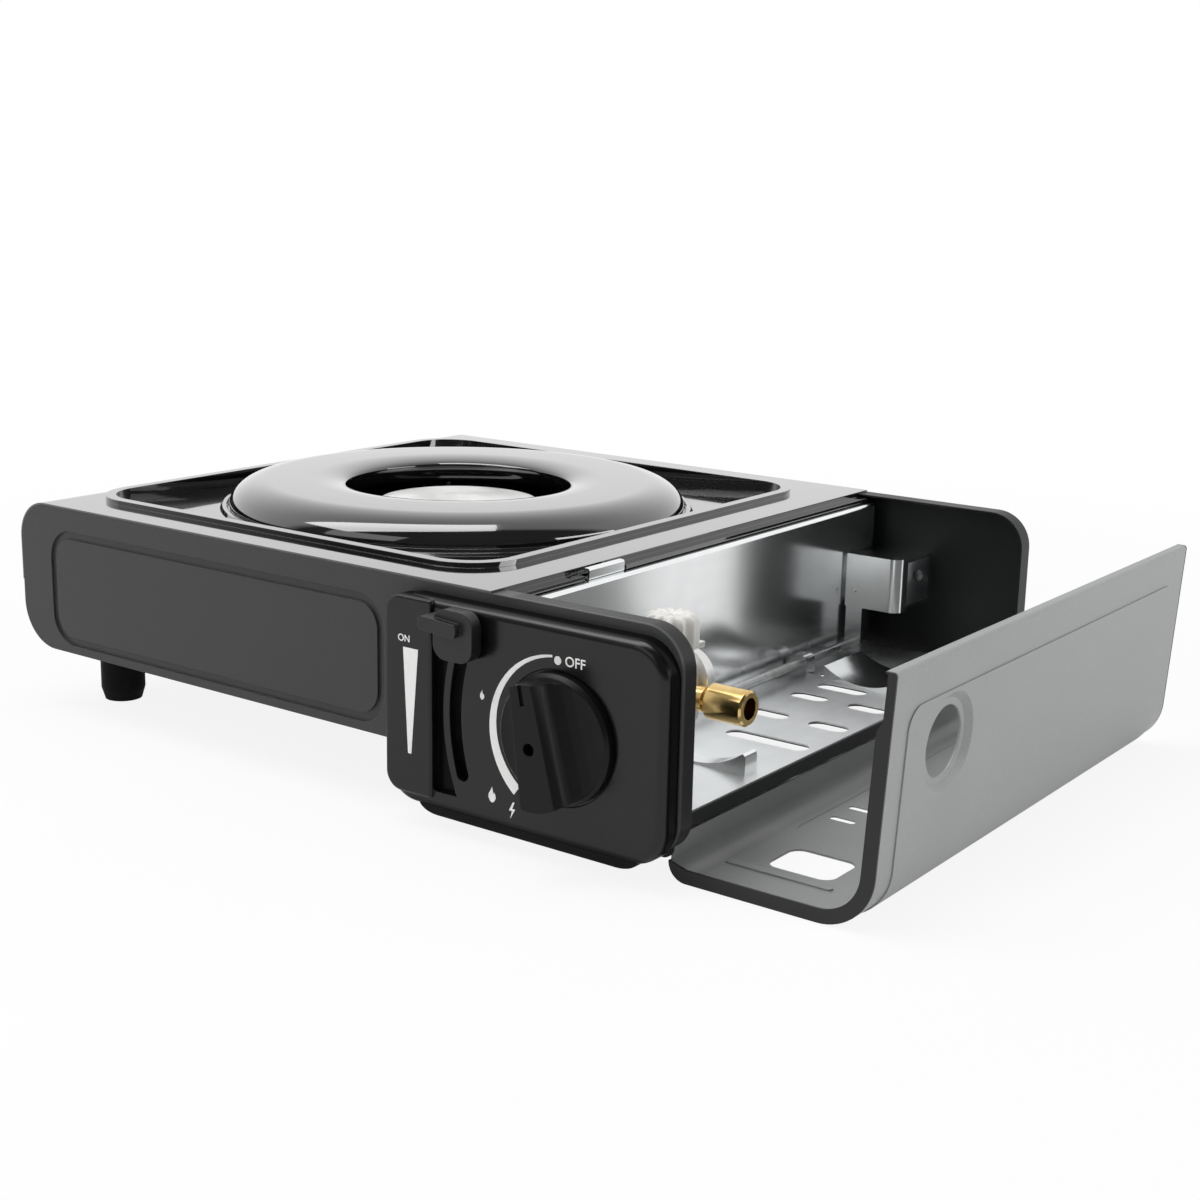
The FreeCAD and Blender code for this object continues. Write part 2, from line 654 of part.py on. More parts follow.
def pan_prongs():
    """Pot rests welded under the ring, pointing down into the bowl while the support is stored."""
    top = PAN_CROWN_Z + 1
    low = PAN_CROWN_Z - PRONG_DROP
    outline = [(PRONG_R0, low, 3.0), (PRONG_R0 + 14, low, 5.0), (PRONG_R1, top - 12, 3.0), (PRONG_R1, top, 0),
               (PRONG_R0 + 5, top, 0)]
    fin = bar([(BURNER_X + r, z, c) for r, z, c in outline], BURNER_Y - PRONG_T / 2, BURNER_Y + PRONG_T / 2)
    under = sheet_back(pan_path(), PAN_T, 1)
    hollow = turned(under + [(under[-1][0], low - 5, 0), (under[0][0], low - 5, 0)], BURNER_X, BURNER_Y)
    fin = fin.common(hollow)
    prongs = []
    for i in range(PRONGS):
        prong = fin.copy()
        prong.rotate(V(BURNER_X, BURNER_Y, 0), V(0, 0, 1), 360 / PRONGS * (i + 0.5))
        prongs.append(prong)
    return Part.makeCompound(prongs)


def burner_cap():
    """Cast crown with flame ports round its edge."""
    z0 = CAP_TOP_Z - CAP_T
    brow = quarter(CAP_R, CAP_TOP_Z - CAP_BROW_H, CAP_R - CAP_BROW_W, CAP_TOP_Z, 2)
    cap = turned([(0, z0, 0), (CAP_R - 3, z0, 0), (CAP_R, z0 + 2.5, 0)] + brow
                 + [(12, CAP_TOP_Z, 0), (8, CAP_TOP_Z - 1.2, 0), (0, CAP_TOP_Z - 1.2, 0)], BURNER_X, BURNER_Y)
    port = block(BURNER_X + CAP_R - 4, BURNER_Y - PORT_W / 2, z0 - 1, BURNER_X + CAP_R + 2, BURNER_Y + PORT_W / 2,
                 CAP_TOP_Z - 2.6)
    ports = []
    for i in range(PORTS):
        cut = port.copy()
        cut.rotate(V(BURNER_X, BURNER_Y, 0), V(0, 0, 1), 360 / PORTS * (i + 0.5))
        ports.append(cut)
    return cap.cut(Part.makeCompound(ports))


def tube_line():
    start = V(BURNER_X, BURNER_Y, TUBE_Z)
    end = V(TUBE_END_X, TUBE_END_Y, TUBE_Z)
    direction = end - start
    length = direction.Length
    direction.normalize()
    return start, direction, length


def burner_head():
    """Cast mixing cup under the crown, on a stem that the mixing tube enters."""
    z1 = CAP_TOP_Z - CAP_T
    z0 = z1 - HEAD_H
    cup = turned([(0, STEM_Z, 0), (STEM_R, STEM_Z, 0), (STEM_R, z0 - 3, 0), (STEM_R + 4, z0, 0), (HEAD_R - 4, z0, 0),
                  (HEAD_R, z0 + 4, 0), (HEAD_R, z1, 0), (0, z1, 0)], BURNER_X, BURNER_Y)
    start, direction, length = tube_line()
    return cup.cut(Part.makeCylinder(TUBE_R, length, start, direction))


def mixing_tube():
    """Venturi tube from the jet to the burner cup, flared where it draws air."""
    start, direction, length = tube_line()
    flare_l = 12.0
    tube = Part.makeCylinder(TUBE_R, length - flare_l, start, direction)
    flare = Part.makeCone(TUBE_R, TUBE_R + 1.8, flare_l, start + direction * (length - flare_l), direction)
    bore = Part.makeCylinder(TUBE_R - TUBE_WALL, length + 1, start + direction * 10, direction)
    return tube.fuse(flare).cut(bore).removeSplitter()


def gas_jet():
    """Brass jet that blows into the mouth of the mixing tube."""
    start, direction, length = tube_line()
    mouth = start + direction * (length - 3)
    nozzle = Part.makeCone(2.2, 3.6, 6, mouth, direction)
    nut = Part.makeCylinder(4.2, 7, mouth + direction * 6, direction)
    return nozzle.fuse(nut).removeSplitter()


def burner_bracket():
    """Bent strap that carries the burner from the tray."""
    z0 = BELLY_Z + SHEET
    z1 = STEM_Z - STRAP
    foot = 16.0
    reach = 30.0
    width = 22.0
    path = [(BURNER_X - reach - foot, z0, 0), (BURNER_X - reach, z0, 2.0), (BURNER_X - reach + 4, z1, 2.0),
            (BURNER_X + reach - 4, z1, 2.0), (BURNER_X + reach, z0, 2.0), (BURNER_X + reach + foot, z0, 0)]
    return bar(strip(path, STRAP, 1), BURNER_Y - width / 2, BURNER_Y + width / 2)


def igniter_electrode():
    """Ceramic insulator with a bent wire tip beside the crown."""
    x = BURNER_X + CAP_R + ELECTRODE_GAP
    z = BOWL_UNDER_Z + SHEET
    tip_z = CAP_TOP_Z - 5
    body = turned([(0, z, 0), (3.2, z, 0), (3.2, z + 9, 0), (2.0, z + 12, 0), (0, z + 12, 0)], x, BURNER_Y)
    wire = Part.makeCylinder(WIRE_R, tip_z - z - 10, V(x, BURNER_Y, z + 10), V(0, 0, 1))
    tip = Part.makeCylinder(WIRE_R, ELECTRODE_GAP - 2, V(x, BURNER_Y, tip_z - WIRE_R), V(-1, 0, 0))
    return fuse([body, wire, tip])


# ---- regulator and gas line ----
def regulator_body():
    boss = post(KNOB_X, KNOB_Z, SPINDLE_R + 4.5, SHEET, REG_Y0)
    drum = turned_y([(REG_Y0, 0, 0), (REG_Y0, REG_R - 1.5, 0), (REG_Y0 + 1.5, REG_R, 0), (REG_Y1, REG_R, 0),
                     (REG_Y1, 0, 0)], KNOB_X, KNOB_Z)
    rear = bar(rectangle(KNOB_X - 11, KNOB_Z - 6, INLET_ROOT_X, CARTRIDGE_Z + 8, 4.0), REG_Y1 - 6, REG_BACK_Y)
    seat = column(DOME_X, DOME_Y, DOME_R - 3, KNOB_Z - 2, KNOB_Z + REG_R)
    body = fuse([boss, drum, rear, seat])
    return body.cut(post(KNOB_X, KNOB_Z, SPINDLE_R + RUNNING, 0, SPINDLE_END_Y + 2))


def diaphragm_cover():
    """Finned cap over the regulator's diaphragm."""
    z = KNOB_Z + REG_R
    pitch = (DOME_H - 5) / DOME_FINS
    points = [(0, z, 0), (DOME_R, z, 0)]
    for i in range(DOME_FINS):
        low = z + pitch * (i + 0.6)
        points += [(DOME_R, low, 0), (DOME_R - 3, low, 0), (DOME_R - 3, low + 1.6, 0), (DOME_R, low + 1.6, 0)]
    points += [(DOME_R, z + DOME_H - 2, 0), (DOME_R - 4, z + DOME_H, 0), (0, z + DOME_H, 0)]
    return turned(points, DOME_X, DOME_Y)


def gas_receptacle():
    """Socket that takes the valve of the cartridge."""
    y = REG_BACK_Y
    socket = turned_y([(y, 0, 0), (y, SOCKET_R + 3, 0), (y + 2, SOCKET_R + 3, 0), (y + 2, SOCKET_R, 0),
                       (SOCKET_Y1 - 1, SOCKET_R, 0), (SOCKET_Y1, SOCKET_R - 1, 0), (SOCKET_Y1, SOCKET_BORE_R, 0),
                       (y + 3, SOCKET_BORE_R, 0),
                       (y + 3, 0, 0)], CARTRIDGE_X, CARTRIDGE_Z)
    tab = block(CARTRIDGE_X - 3, y + 2, CARTRIDGE_Z + SOCKET_R - 1, CARTRIDGE_X + 3, SOCKET_Y1 + 4,
                CARTRIDGE_Z + SOCKET_R + 1.2)
    return socket.fuse(tab).removeSplitter()


def receptacle_seal():
    y = REG_BACK_Y + 3
    return turned_y([(y, 2.2, 0), (y, SOCKET_BORE_R - 0.05, 0), (y + 2, SOCKET_BORE_R - 0.05, 0), (y + 2, 2.2, 0)],
                    CARTRIDGE_X, CARTRIDGE_Z)


def hose_inlet():
    """Brass hose connection that points out of the bay."""
    x0 = INLET_ROOT_X
    points = [(x0, 0, 0), (x0, INLET_NECK_R, 0), (INLET_NECK_X - 2.4, INLET_NECK_R, 0),
              (INLET_NECK_X - 2.4, INLET_NECK_R - 1, 0), (INLET_NECK_X, INLET_NECK_R - 1, 0),
              (INLET_NECK_X, INLET_R, 0), (INLET_TIP_X - 0.8, INLET_R, 0), (INLET_TIP_X, INLET_R - 0.8, 0),
              (INLET_TIP_X, INLET_BORE_R, 0),
              (INLET_NECK_X + 2, INLET_BORE_R, 0), (INLET_NECK_X + 2, 0, 0)]
    return turned_x(points, INLET_Y, INLET_Z)


def pipe_line():
    """Jet end, bend and regulator end of the feed pipe."""
    start, direction, length = tube_line()
    jet = start + direction * (length + 10)
    end = V(KNOB_X - REG_R + 4, REG_Y1 - 9, TUBE_Z)
    run = end.x - 6 - jet.x
    corner = jet + direction * (run / direction.x)
    return jet, corner, end


def gas_pipe():
    """Feed pipe from the regulator to the jet."""
    jet, corner, end = pipe_line()
    pipe = bent_rod([jet, corner, end], 2.5 * PIPE_R, PIPE_R)
    return pipe.cut(post(KNOB_X, KNOB_Z, REG_R, REG_Y0, REG_Y1))


def piezo_igniter():
    """Spark unit beside the regulator, worked by the knob."""
    x = (SHIELD_X + KNOB_X - REG_R) / 2
    r = (KNOB_X - REG_R - SHIELD_X) / 2 - FIT
    z = KNOB_Z + 10
    return fuse([post(x, z, r, SHEET, REG_Y1 - 6), post(x, z, r / 2, REG_Y1 - 6, REG_Y1)])


# ---- cartridge pusher ----
def link_rod():
    return post(ROD_X, ROD_Z, ROD_R, ROD_Y0, PUSHER_Y)


def rod_guides():
    half = ROD_R + 2.5
    top = ROD_Z + ROD_R + 2.2
    guides = []
    for y in GUIDE_Y:
        guide = bar([(ROD_X - half, BAY_TOP_Z, 0), (ROD_X + half, BAY_TOP_Z, 0), (ROD_X + half, top, 3.5),
                     (ROD_X - half, top, 3.5)], y, y + GUIDE_L)
        guides.append(guide.cut(post(ROD_X, ROD_Z, ROD_R + RUNNING, y - 1, y + GUIDE_L + 1)))
    return Part.makeCompound(guides)


def cartridge_pusher():
    """Plate that presses the cartridge forward, folded back at its edges, with a leg down to the rod."""
    z0 = CARTRIDGE_Z - PUSHER_LOW
    z1 = CARTRIDGE_Z + PUSHER_HIGH
    y = PUSHER_Y
    path = [(PUSHER_X0, y, 0), (PUSHER_X1, y, PUSHER_BEND), (PUSHER_X1, y + PUSHER_FOLD, 0)]
    blade = plate(strip(path, PUSHER_T, 1), z0, z1)
    fold = block(PUSHER_X0, y, z1 - PUSHER_T, PUSHER_X1 - PUSHER_BEND, y + PUSHER_FOLD, z1)
    leg = block(ROD_X - 4, y, ROD_Z - 4.5, ROD_X + 4, y + PUSHER_T, z0 + 1)
    rivet = post(PUSHER_X0 + 2 * PUSHER_RIVET_R, z0 + PUSHER_LOW / 2, PUSHER_RIVET_R, y - 0.8, y)
    return fuse([blade, fold, leg, rivet])


def bracket_ends():
    """Left and right ends and lower and upper faces of the bracket, inside the pusher's folds."""
    air = 2 * FIT
    x0 = PUSHER_X0 + air
    x1 = PUSHER_X1 - PUSHER_T - air
    z1 = CARTRIDGE_Z + PUSHER_HIGH - PUSHER_T - air
    return x0, x1, CARTRIDGE_Z - PUSHER_LOW + air, z1


def pusher_bracket():
    """Channel on the back plate that guides the pusher."""
    y1 = BODY_D - SHEET
    x0, x1, z0, z1 = bracket_ends()
    back = block(x0, y1 - PUSHER_T, z0, x1, y1, z1)
    upper = block(x0, PUSHER_Y + PUSHER_FOLD - 2, z1 - PUSHER_T, x1, y1, z1)
    lower = block(x0, PUSHER_Y + PUSHER_FOLD, z0, x1, y1, z0 + PUSHER_T)
    return fuse([back, upper, lower])


def bracket_rivets():
    x0, x1, z0, z1 = bracket_ends()
    y = BODY_D - SHEET - PUSHER_T
    inset = 2 * BRACKET_RIVET_R
    heads = []
    for x in (x0 + inset, x1 - inset):
        heads.append(Part.makeCone(BRACKET_RIVET_R, BRACKET_RIVET_R / 2, BRACKET_RIVET_H, V(x, y, (z0 + z1) / 2),
                                   V(0, -1, 0)))
    return Part.makeCompound(heads)


def cartridge_cradle():
    """Saddles that hold the cartridge off the floor, front and rear."""
    saddles = []
    top = BAY_TOP_Z + CRADLE_H
    for y0, y1 in CRADLE_Y:
        body = bar([(CRADLE_X0, BAY_TOP_Z, 0), (CRADLE_X1, BAY_TOP_Z, 0), (CRADLE_X1, top, 2.0),
                    (CRADLE_X0, top, 2.0)], y0, y1)
        saddles.append(body.cut(post(CARTRIDGE_X, CARTRIDGE_Z, CARTRIDGE_R + FIT, y0 - 1, y1 + 1)))
    return Part.makeCompound(saddles)


# ---- lid ----
def lid_path():
    """Outer line of the open lid from its root to its free edge."""
    x0 = HINGE_X + RISER_GAP
    top_x = LID_OUT_X + math.tan(LID_LEAN) * (LID_H - LID_FLOOR)
    return [(x0, LID_ROOT_Z, 0), (x0, LID_FLOOR, ROOT_R), (LID_OUT_X, LID_FLOOR, LID_R), (top_x, LID_H, 1.4),
            (top_x - LID_HEM, LID_H, 0)]


def lid_flange(y0, y1):
    """Stiffening flange across one end of the lid, narrower where it passes over the cover."""
    half = SHEET / 2
    root_x = HINGE_X + RISER_GAP + half
    top = LID_H - half

    def at(height, deep):
        return LID_OUT_X + math.tan(LID_LEAN) * (height - LID_FLOOR) - deep / math.cos(LID_LEAN)

    f = LID_FLANGE
    points = [(root_x, LID_FLOOR + ROOT_R, 0), (root_x, LID_FLOOR + half, ROOT_R - half),
              (LID_OUT_X - half, LID_FLOOR + half, LID_R - half), (at(top, half), top, 0),
              (at(top, LID_NARROW), top, 0), (at(LID_TAPER + 4, LID_NARROW), LID_TAPER + 4, 0),
              (at(LID_TAPER, f), LID_TAPER, 0),
              (at(LID_FLOOR + f, f), LID_FLOOR + f, LID_R - f), (root_x + ROOT_R, LID_FLOOR + f, 0)]
    return bar(points, y0, y1)


def lid_knuckle(y):
    """Curl of the root strip round the hinge rod."""
    tube = post(HINGE_X, HINGE_Z, KNUCKLE_R, y, y + KNUCKLE_L)
    return tube.cut(post(HINGE_X, HINGE_Z, PIN_R + RUNNING, y - 1, y + KNUCKLE_L + 1))


def leaning(shape):
    """Lean a shape that was made against an upright panel."""
    leaned = shape.copy()
    leaned.rotate(V(LID_OUT_X, 0, LID_FLOOR), V(0, 1, 0), math.degrees(LID_LEAN))
    return leaned


def lid_field():
    """Field pressed outward in the standing panel, from its bend to below its hem."""
    x = LID_OUT_X
    top = x + math.tan(LID_LEAN) * (FIELD_TOP_Z - LID_FLOOR)
    path = [(x - LID_R, LID_FLOOR, 0), (x, LID_FLOOR, LID_R), (top, FIELD_TOP_Z, 0)]
    skin = bar(strip(path, FIELD_H, -1), LID_Y0 + FIELD_INSET_Y, LID_Y1 - FIELD_INSET_Y)
    skin = skin.cut(block(x - 2 * LID_R, 0, -LID_R, x + LID_R, BODY_D, LID_FLOOR))
    corner = rectangle(LID_Y0 + FIELD_INSET_Y, -LID_R, LID_Y1 - FIELD_INSET_Y, FIELD_TOP_Z, FIELD_R)
    return skin.common(rounded(corner, on_yz(x - 2 * LID_R)).extrude(V(4 * LID_R, 0, 0)))


def lid_cuts():
    """Window, slots and shallow field of the side panel."""
    z1 = LID_FLOOR + SHEET
    cuts = [plate(rectangle(WINDOW_X0, WINDOW_Y0, WINDOW_X0 + WINDOW_L, WINDOW_Y1, WINDOW_R), -1, z1 + 2),
            plate(rectangle(PAD_X0, PAD_Y0, LID_OUT_X - LID_R, LID_Y1 - PAD_END_Y, FIELD_R), z1 - PAD_DEEP, z1 + 1)]
    for y in LID_SLOT_Y:
        half = LID_SLOT_W / 2
        cuts.append(plate(slot(LID_SLOT_X0, y - half, LID_SLOT_X0 + LID_SLOT_L, y + half), -1, z1 + 2))
    low = HINGE_Z - EAR_R - EAR_CLEAR
    for y in EAR_Y:
        cuts.append(block(HINGE_X, y - EAR_CLEAR, low, HINGE_X + ROOT_R, y + EAR_T + EAR_CLEAR, LID_ROOT_Z + 1))
    return Part.makeCompound(cuts)


def lid():
    """L-shaped cover of the bay: side panel on the table, top panel standing."""
    skin = bar(strip(lid_path(), SHEET, 1), LID_Y0, LID_Y1)
    half = LID_BEAD_W / 2
    bead = plate(slot(LID_BEAD_X[0], LID_BEAD_Y - half, LID_BEAD_X[1], LID_BEAD_Y + half), LID_FLOOR + SHEET / 2,
                 LID_FLOOR + SHEET + LID_BEAD_H)
    parts = [skin, lid_field(), bead, lid_flange(LID_Y0, LID_Y0 + SHEET), lid_flange(LID_Y1 - SHEET, LID_Y1)]
    x = LID_OUT_X
    dish = Part.makeCylinder(DISH_R + SHEET, SHEET / 2 + DISH_DEEP, V(x - SHEET - DISH_DEEP, SIGHT_Y, SIGHT_Z),
                             V(1, 0, 0))
    parts.append(leaning(dish))
    cover = fuse(parts).cut(lid_cuts())
    cover = fuse([cover] + [lid_knuckle(y) for y in KNUCKLE_Y])
    pocket = Part.makeCone(DISH_R - 2.5, DISH_R, DISH_DEEP + FIELD_H, V(x - DISH_DEEP, SIGHT_Y, SIGHT_Z), V(1, 0, 0))
    hole = Part.makeCylinder(SIGHT_R, 10, V(x - 6, SIGHT_Y, SIGHT_Z), V(1, 0, 0))
    return cover.cut(leaning(pocket)).cut(leaning(hole))


def hinge_rod():
    return post(HINGE_X, HINGE_Z, PIN_R, EAR_Y[0] - EAR_INSET / 2, EAR_Y[1] + EAR_T + EAR_INSET / 2)


# ---- control fascia, knob and lever ----
def sector(r0, r1, low, high, y0, y1):
    """Ring sector about the lever's pivot, angles above level on the left, thickness along Y."""
    def at(r, degrees):
        a = math.radians(degrees)
        return V(LEVER_X - r * math.cos(a), y0, LEVER_Z + r * math.sin(a))

    middle = (low + high) / 2
    wire = Part.Wire([Part.Arc(at(r1, low), at(r1, middle), at(r1, high)).toShape(),
                      Part.LineSegment(at(r1, high), at(r0, high)).toShape(),
                      Part.Arc(at(r0, high), at(r0, middle), at(r0, low)).toShape(),
                      Part.LineSegment(at(r0, low), at(r1, low)).toShape()])
    return Part.Face(wire).extrude(V(0, y1 - y0, 0))


def curved_slot(radius, width, low, high, y0, y1):
    """Sector with round ends."""
    parts = [sector(radius - width / 2, radius + width / 2, low, high, y0, y1)]
    for degrees in (low, high):
        a = math.radians(degrees)
        parts.append(post(LEVER_X - radius * math.cos(a), LEVER_Z + radius * math.sin(a), width / 2, y0, y1))
    return fuse(parts)


def valley_outline(grow, y0, y1):
    """Hollow between the raised strip and an arc that follows the lever's slot."""
    low = STRIP_Z0 + 3
    hollow = bar(rectangle(STRIP_X1 - grow, low - grow, LEVER_X, FASCIA_Z1 - 6 + grow, 1.0), y0, y1)
    return hollow.cut(post(LEVER_X, LEVER_Z, LEVER_SLOT_R + VALLEY_BEYOND - grow, y0 - 1, y1 + 1))


def control_fascia():
    main = bar(rectangle(FASCIA_X0, FASCIA_Z0, FASCIA_X1, FASCIA_Z1, FASCIA_R), -FASCIA_D, 0)
    main = front_round(main, -FASCIA_D, FASCIA_ROUND)
    raised = bar([(FASCIA_X0 + 2, STRIP_Z0, STRIP_R), (STRIP_X1, STRIP_Z0, 1.5), (STRIP_X1, FASCIA_Z1 - 0.4, 1.5),
                  (FASCIA_X0 + 2, FASCIA_Z1 - 0.4, STRIP_R)], -FASCIA_D - STRIP_RISE, -2.0)
    raised = front_round(raised, -FASCIA_D - STRIP_RISE, STRIP_ROUND)
    w = FASCIA_WALL
    inner = rectangle(FASCIA_X0 + w, FASCIA_Z0 + w, FASCIA_X1 - w, FASCIA_Z1 - w, FASCIA_R - w)
    cavity = bar(inner, -FASCIA_D + w, 1)
    bottom = -FASCIA_D + VALLEY_DEEP
    pocket = valley_outline(VALLEY_EDGE, -FASCIA_D + w, bottom + VALLEY_FLOOR)
    fascia = main.fuse(raised).removeSplitter().cut(cavity.cut(pocket))
    fascia = fascia.cut(valley_outline(0, -FASCIA_D - 1, bottom))
    fascia = fascia.cut(post(KNOB_X, KNOB_Z, KNOB_R + 0.8, -FASCIA_D - 1, -FASCIA_D + KNOB_WELL))
    fascia = fascia.cut(post(KNOB_X, KNOB_Z, SPINDLE_R + 1, -FASCIA_D - 1, 1))
    return fascia.cut(curved_slot(LEVER_SLOT_R, LEVER_SLOT_W, -LEVER_DOWN - 2.2, LEVER_UP + 2.2, -FASCIA_D - 1, 1))


def grip_section(width, z):
    """Section of the grip at height z: flat face and two scooped flanks."""
    half = width / 2
    foot = half + GRIP_SCOOP_R
    back = KNOB_FACE_Y
    right = quarter(half, GRIP_FRONT_Y, foot, back, SCOOP_STEPS) + [(foot, back + 0.5, 0)]
    left = [(-u, v, 0) for u, v, c in right[::-1]]
    return rounded([(KNOB_X + u, v, 0) for u, v, c in right + left], on_xy(z)).OuterWire


def knob():
    """Turn knob: round skirt and a tapered grip with scooped flanks, a pointer notch and a screw hole."""
    back = KNOB_BACK_Y
    front = KNOB_FACE_Y
    disc = turned_y([(back, 0, 0), (back, KNOB_R, 0), (front + 1.2, KNOB_R, 0), (front, KNOB_R - 1.2, 0),
                     (front, 0, 0)], KNOB_X, KNOB_Z)
    half = KNOB_R - 1.4
    ends = [grip_section(GRIP_TAIL_W, KNOB_Z - half), grip_section(GRIP_TOP_W, KNOB_Z + half)]
    grip = Part.makeLoft(ends, True, True)
    grip = grip.common(post(KNOB_X, KNOB_Z, half, GRIP_FRONT_Y - 1, front + 1))
    w = NOTCH_W / 2
    notch = block(KNOB_X - w, GRIP_FRONT_Y - 1, KNOB_Z + half - NOTCH_L, KNOB_X + w, GRIP_FRONT_Y + NOTCH_DEEP,
                  KNOB_Z + half + 1)
    grip = spin(grip.cut(notch), KNOB_X, KNOB_Z, -GRIP_LEAN)
    body = disc.fuse(grip).removeSplitter()
    body = body.cut(post(KNOB_X, KNOB_Z, SPINDLE_R, SPINDLE_TIP_Y, back + 1))
    return body.cut(post(KNOB_X, KNOB_Z, GRIP_HOLE_R, GRIP_FRONT_Y - 1, SPINDLE_TIP_Y - 3))


def knob_spindle():
    return post(KNOB_X, KNOB_Z, SPINDLE_R, SPINDLE_TIP_Y, SPINDLE_END_Y)


def lever_plate():
    """Steel lever behind the fascia, arched over the spindle; drawn level, then lifted to rest."""
    y0 = LEVER_FACE_Y
    y1 = y0 + LEVER_T
    reach = LEVER_X - KNOB_X
    clear = SPINDLE_R + LEVER_CLEAR
    arch = LEVER_Z + reach * math.sin(math.radians(LEVER_DOWN)) + clear + LEVER_ARCH_W
    neck = LEVER_X - LEVER_SLOT_R + 14
    tip = LEVER_X - LEVER_SLOT_R - 6
    end = LEVER_X + LEVER_PIN_R + 4
    outline = [(end, LEVER_Z - 7, 6.0), (end, LEVER_Z + 7, 6.0), (LEVER_X - 6, arch, 6.0),
               (KNOB_X - clear, arch, 8.0), (neck, LEVER_Z + 6, 3.0), (tip, LEVER_Z + 5, 2.0),
               (tip, LEVER_Z - 5, 2.0), (neck, LEVER_Z - 6, 3.0)]
    blade = bar(outline, y0, y1)
    blade = blade.cut(curved_slot(reach, 2 * clear, -LEVER_MOUTH, LEVER_DOWN, y0 - 1, y1 + 1))
    blade = blade.cut(post(LEVER_X, LEVER_Z, LEVER_PIN_R + RUNNING, y0 - 1, y1 + 1))
    return spin(blade, LEVER_X, LEVER_Z, LEVER_UP)


def lever_tab():
    """Moulded finger tab on the lever: a rounded block over the curved slot and a plate to its left."""
    up = LEVER_UP
    face = -FASCIA_D - STRIP_RISE - 2 * FIT
    half = LEVER_SLOT_W / 2 - 0.4
    stem = sector(LEVER_SLOT_R - half, LEVER_SLOT_R + half, up - 2.2, up + 2.2, face - 1, LEVER_FACE_Y)
    x = LEVER_X - LEVER_SLOT_R * math.cos(math.radians(up))
    z = LEVER_Z + LEVER_SLOT_R * math.sin(math.radians(up))
    left = x - TAB_SHIFT - TAB_W / 2
    boss = bar(rectangle(left, z - TAB_H / 2, left + TAB_W, z + TAB_H / 2, TAB_R), face - TAB_T, face)
    plate_z = z + HANDLE_H / 2
    handle = bar(rectangle(x - HANDLE_REACH, plate_z - HANDLE_H / 2, x + 1.5, plate_z + HANDLE_H / 2, 1.5),
                 face - HANDLE_T, face)
    return fuse([stem, boss, spin(handle, x, plate_z, HANDLE_TILT)])


def lever_pivot():
    """Shouldered rivet that carries the lever."""
    post_part = post(LEVER_X, LEVER_Z, LEVER_PIN_R, LEVER_FACE_Y - 0.3, 0)
    head = post(LEVER_X, LEVER_Z, LEVER_PIN_R + 2, LEVER_FACE_Y - 1.3, LEVER_FACE_Y - 0.3)
    collar = post(LEVER_X, LEVER_Z, LEVER_PIN_R + 2, LEVER_FACE_Y + LEVER_T + FIT, 0)
    tail = post(LEVER_X, LEVER_Z, LEVER_PIN_R - 0.8, 0, SHEET + 1)
    return fuse([post_part, head, collar, tail])


# ---- feet and screws ----
def feet():
    shapes = []
    for x, top in ((FOOT_INSET_X, BELLY_Z), (FOOT_BAY_X, BAY_Z)):
        for y in (FOOT_INSET_Y, BODY_D - FOOT_INSET_Y):
            shapes.append(turned([(0, 0, 0), (FOOT_R - FOOT_TAPER, 0, 0), (FOOT_R, 5.0, 0), (FOOT_R, top, 0),
                                  (0, top, 0)], x, y))
    return Part.makeCompound(shapes)


def body_screws():
    """Pan-head screws through the cover's skirt into the tray."""
    screws = []
    for y in (SCREW_INSET_Y, BODY_D / 2, BODY_D - SCREW_INSET_Y):
        screws.append(turned_x([(0, 0, 0), (0, SCREW_R, 0), (SCREW_CHAMFER - SCREW_HEAD, SCREW_R, 0),
                                (-SCREW_HEAD, SCREW_R - SCREW_CHAMFER, 0), (-SCREW_HEAD, 0, 0)], y, SCREW_Z))
    return Part.makeCompound(screws)


NODES = {
    "front_panel": front_panel,
    "back_panel": back_panel,
    "top_cover": top_cover,
    "bottom_tray": bottom_tray,
    "bay_floor": bay_floor,
    "heat_shield": heat_shield,
    "lid_catch": lid_catch,
    "drip_tray": drip_tray,
    "burner_head": burner_head,
    "burner_cap": burner_cap,
    "burner_bracket": burner_bracket,
    "mixing_tube": mixing_tube,
    "gas_jet": gas_jet,
    "gas_pipe": gas_pipe,
    "igniter_electrode": igniter_electrode,
    "piezo_igniter": piezo_igniter,
    "regulator_body": regulator_body,
    "diaphragm_cover": diaphragm_cover,
    "gas_receptacle": gas_receptacle,
    "receptacle_seal": receptacle_seal,
    "hose_inlet": hose_inlet,
    "rod_guides": rod_guides,
    "pusher_bracket": pusher_bracket,
    "bracket_rivets": bracket_rivets,
    "cartridge_cradle": cartridge_cradle,
    "control_fascia": control_fascia,
    "lever_pivot": lever_pivot,
    "feet": feet,
    "body_screws": body_screws,
    "hinge_rod": hinge_rod,
    "knob": knob,
    "knob_spindle": knob_spindle,
    "lever_plate": lever_plate,
    "lever_tab": lever_tab,
    "link_rod": link_rod,
    "cartridge_pusher": cartridge_pusher,
    "pan_support": pan_support,
    "pan_prongs": pan_prongs,
    "lid": lid,
}

os.makedirs("parts", exist_ok=True)
shapes = {name: make() for name, make in NODES.items()}
whole = Part.makeCompound(list(shapes.values())).BoundBox
shift = V(-whole.Center.x, -whole.Center.y, 0)
for name, shape in shapes.items():
    shape.translate(shift)
    shape.exportStep("parts/%s.step" % name)
print("origin shift", round(shift.x, 4), round(shift.y, 4), "size", round(whole.XLength, 2),
      round(whole.YLength, 2), round(whole.ZLength, 2), "low", round(whole.ZMin, 3))
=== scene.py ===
"""Looks of a butane cassette stove: finishes, printed marks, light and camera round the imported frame."""

import json
import math

import bmesh
import bpy
from mathutils import Matrix, Vector


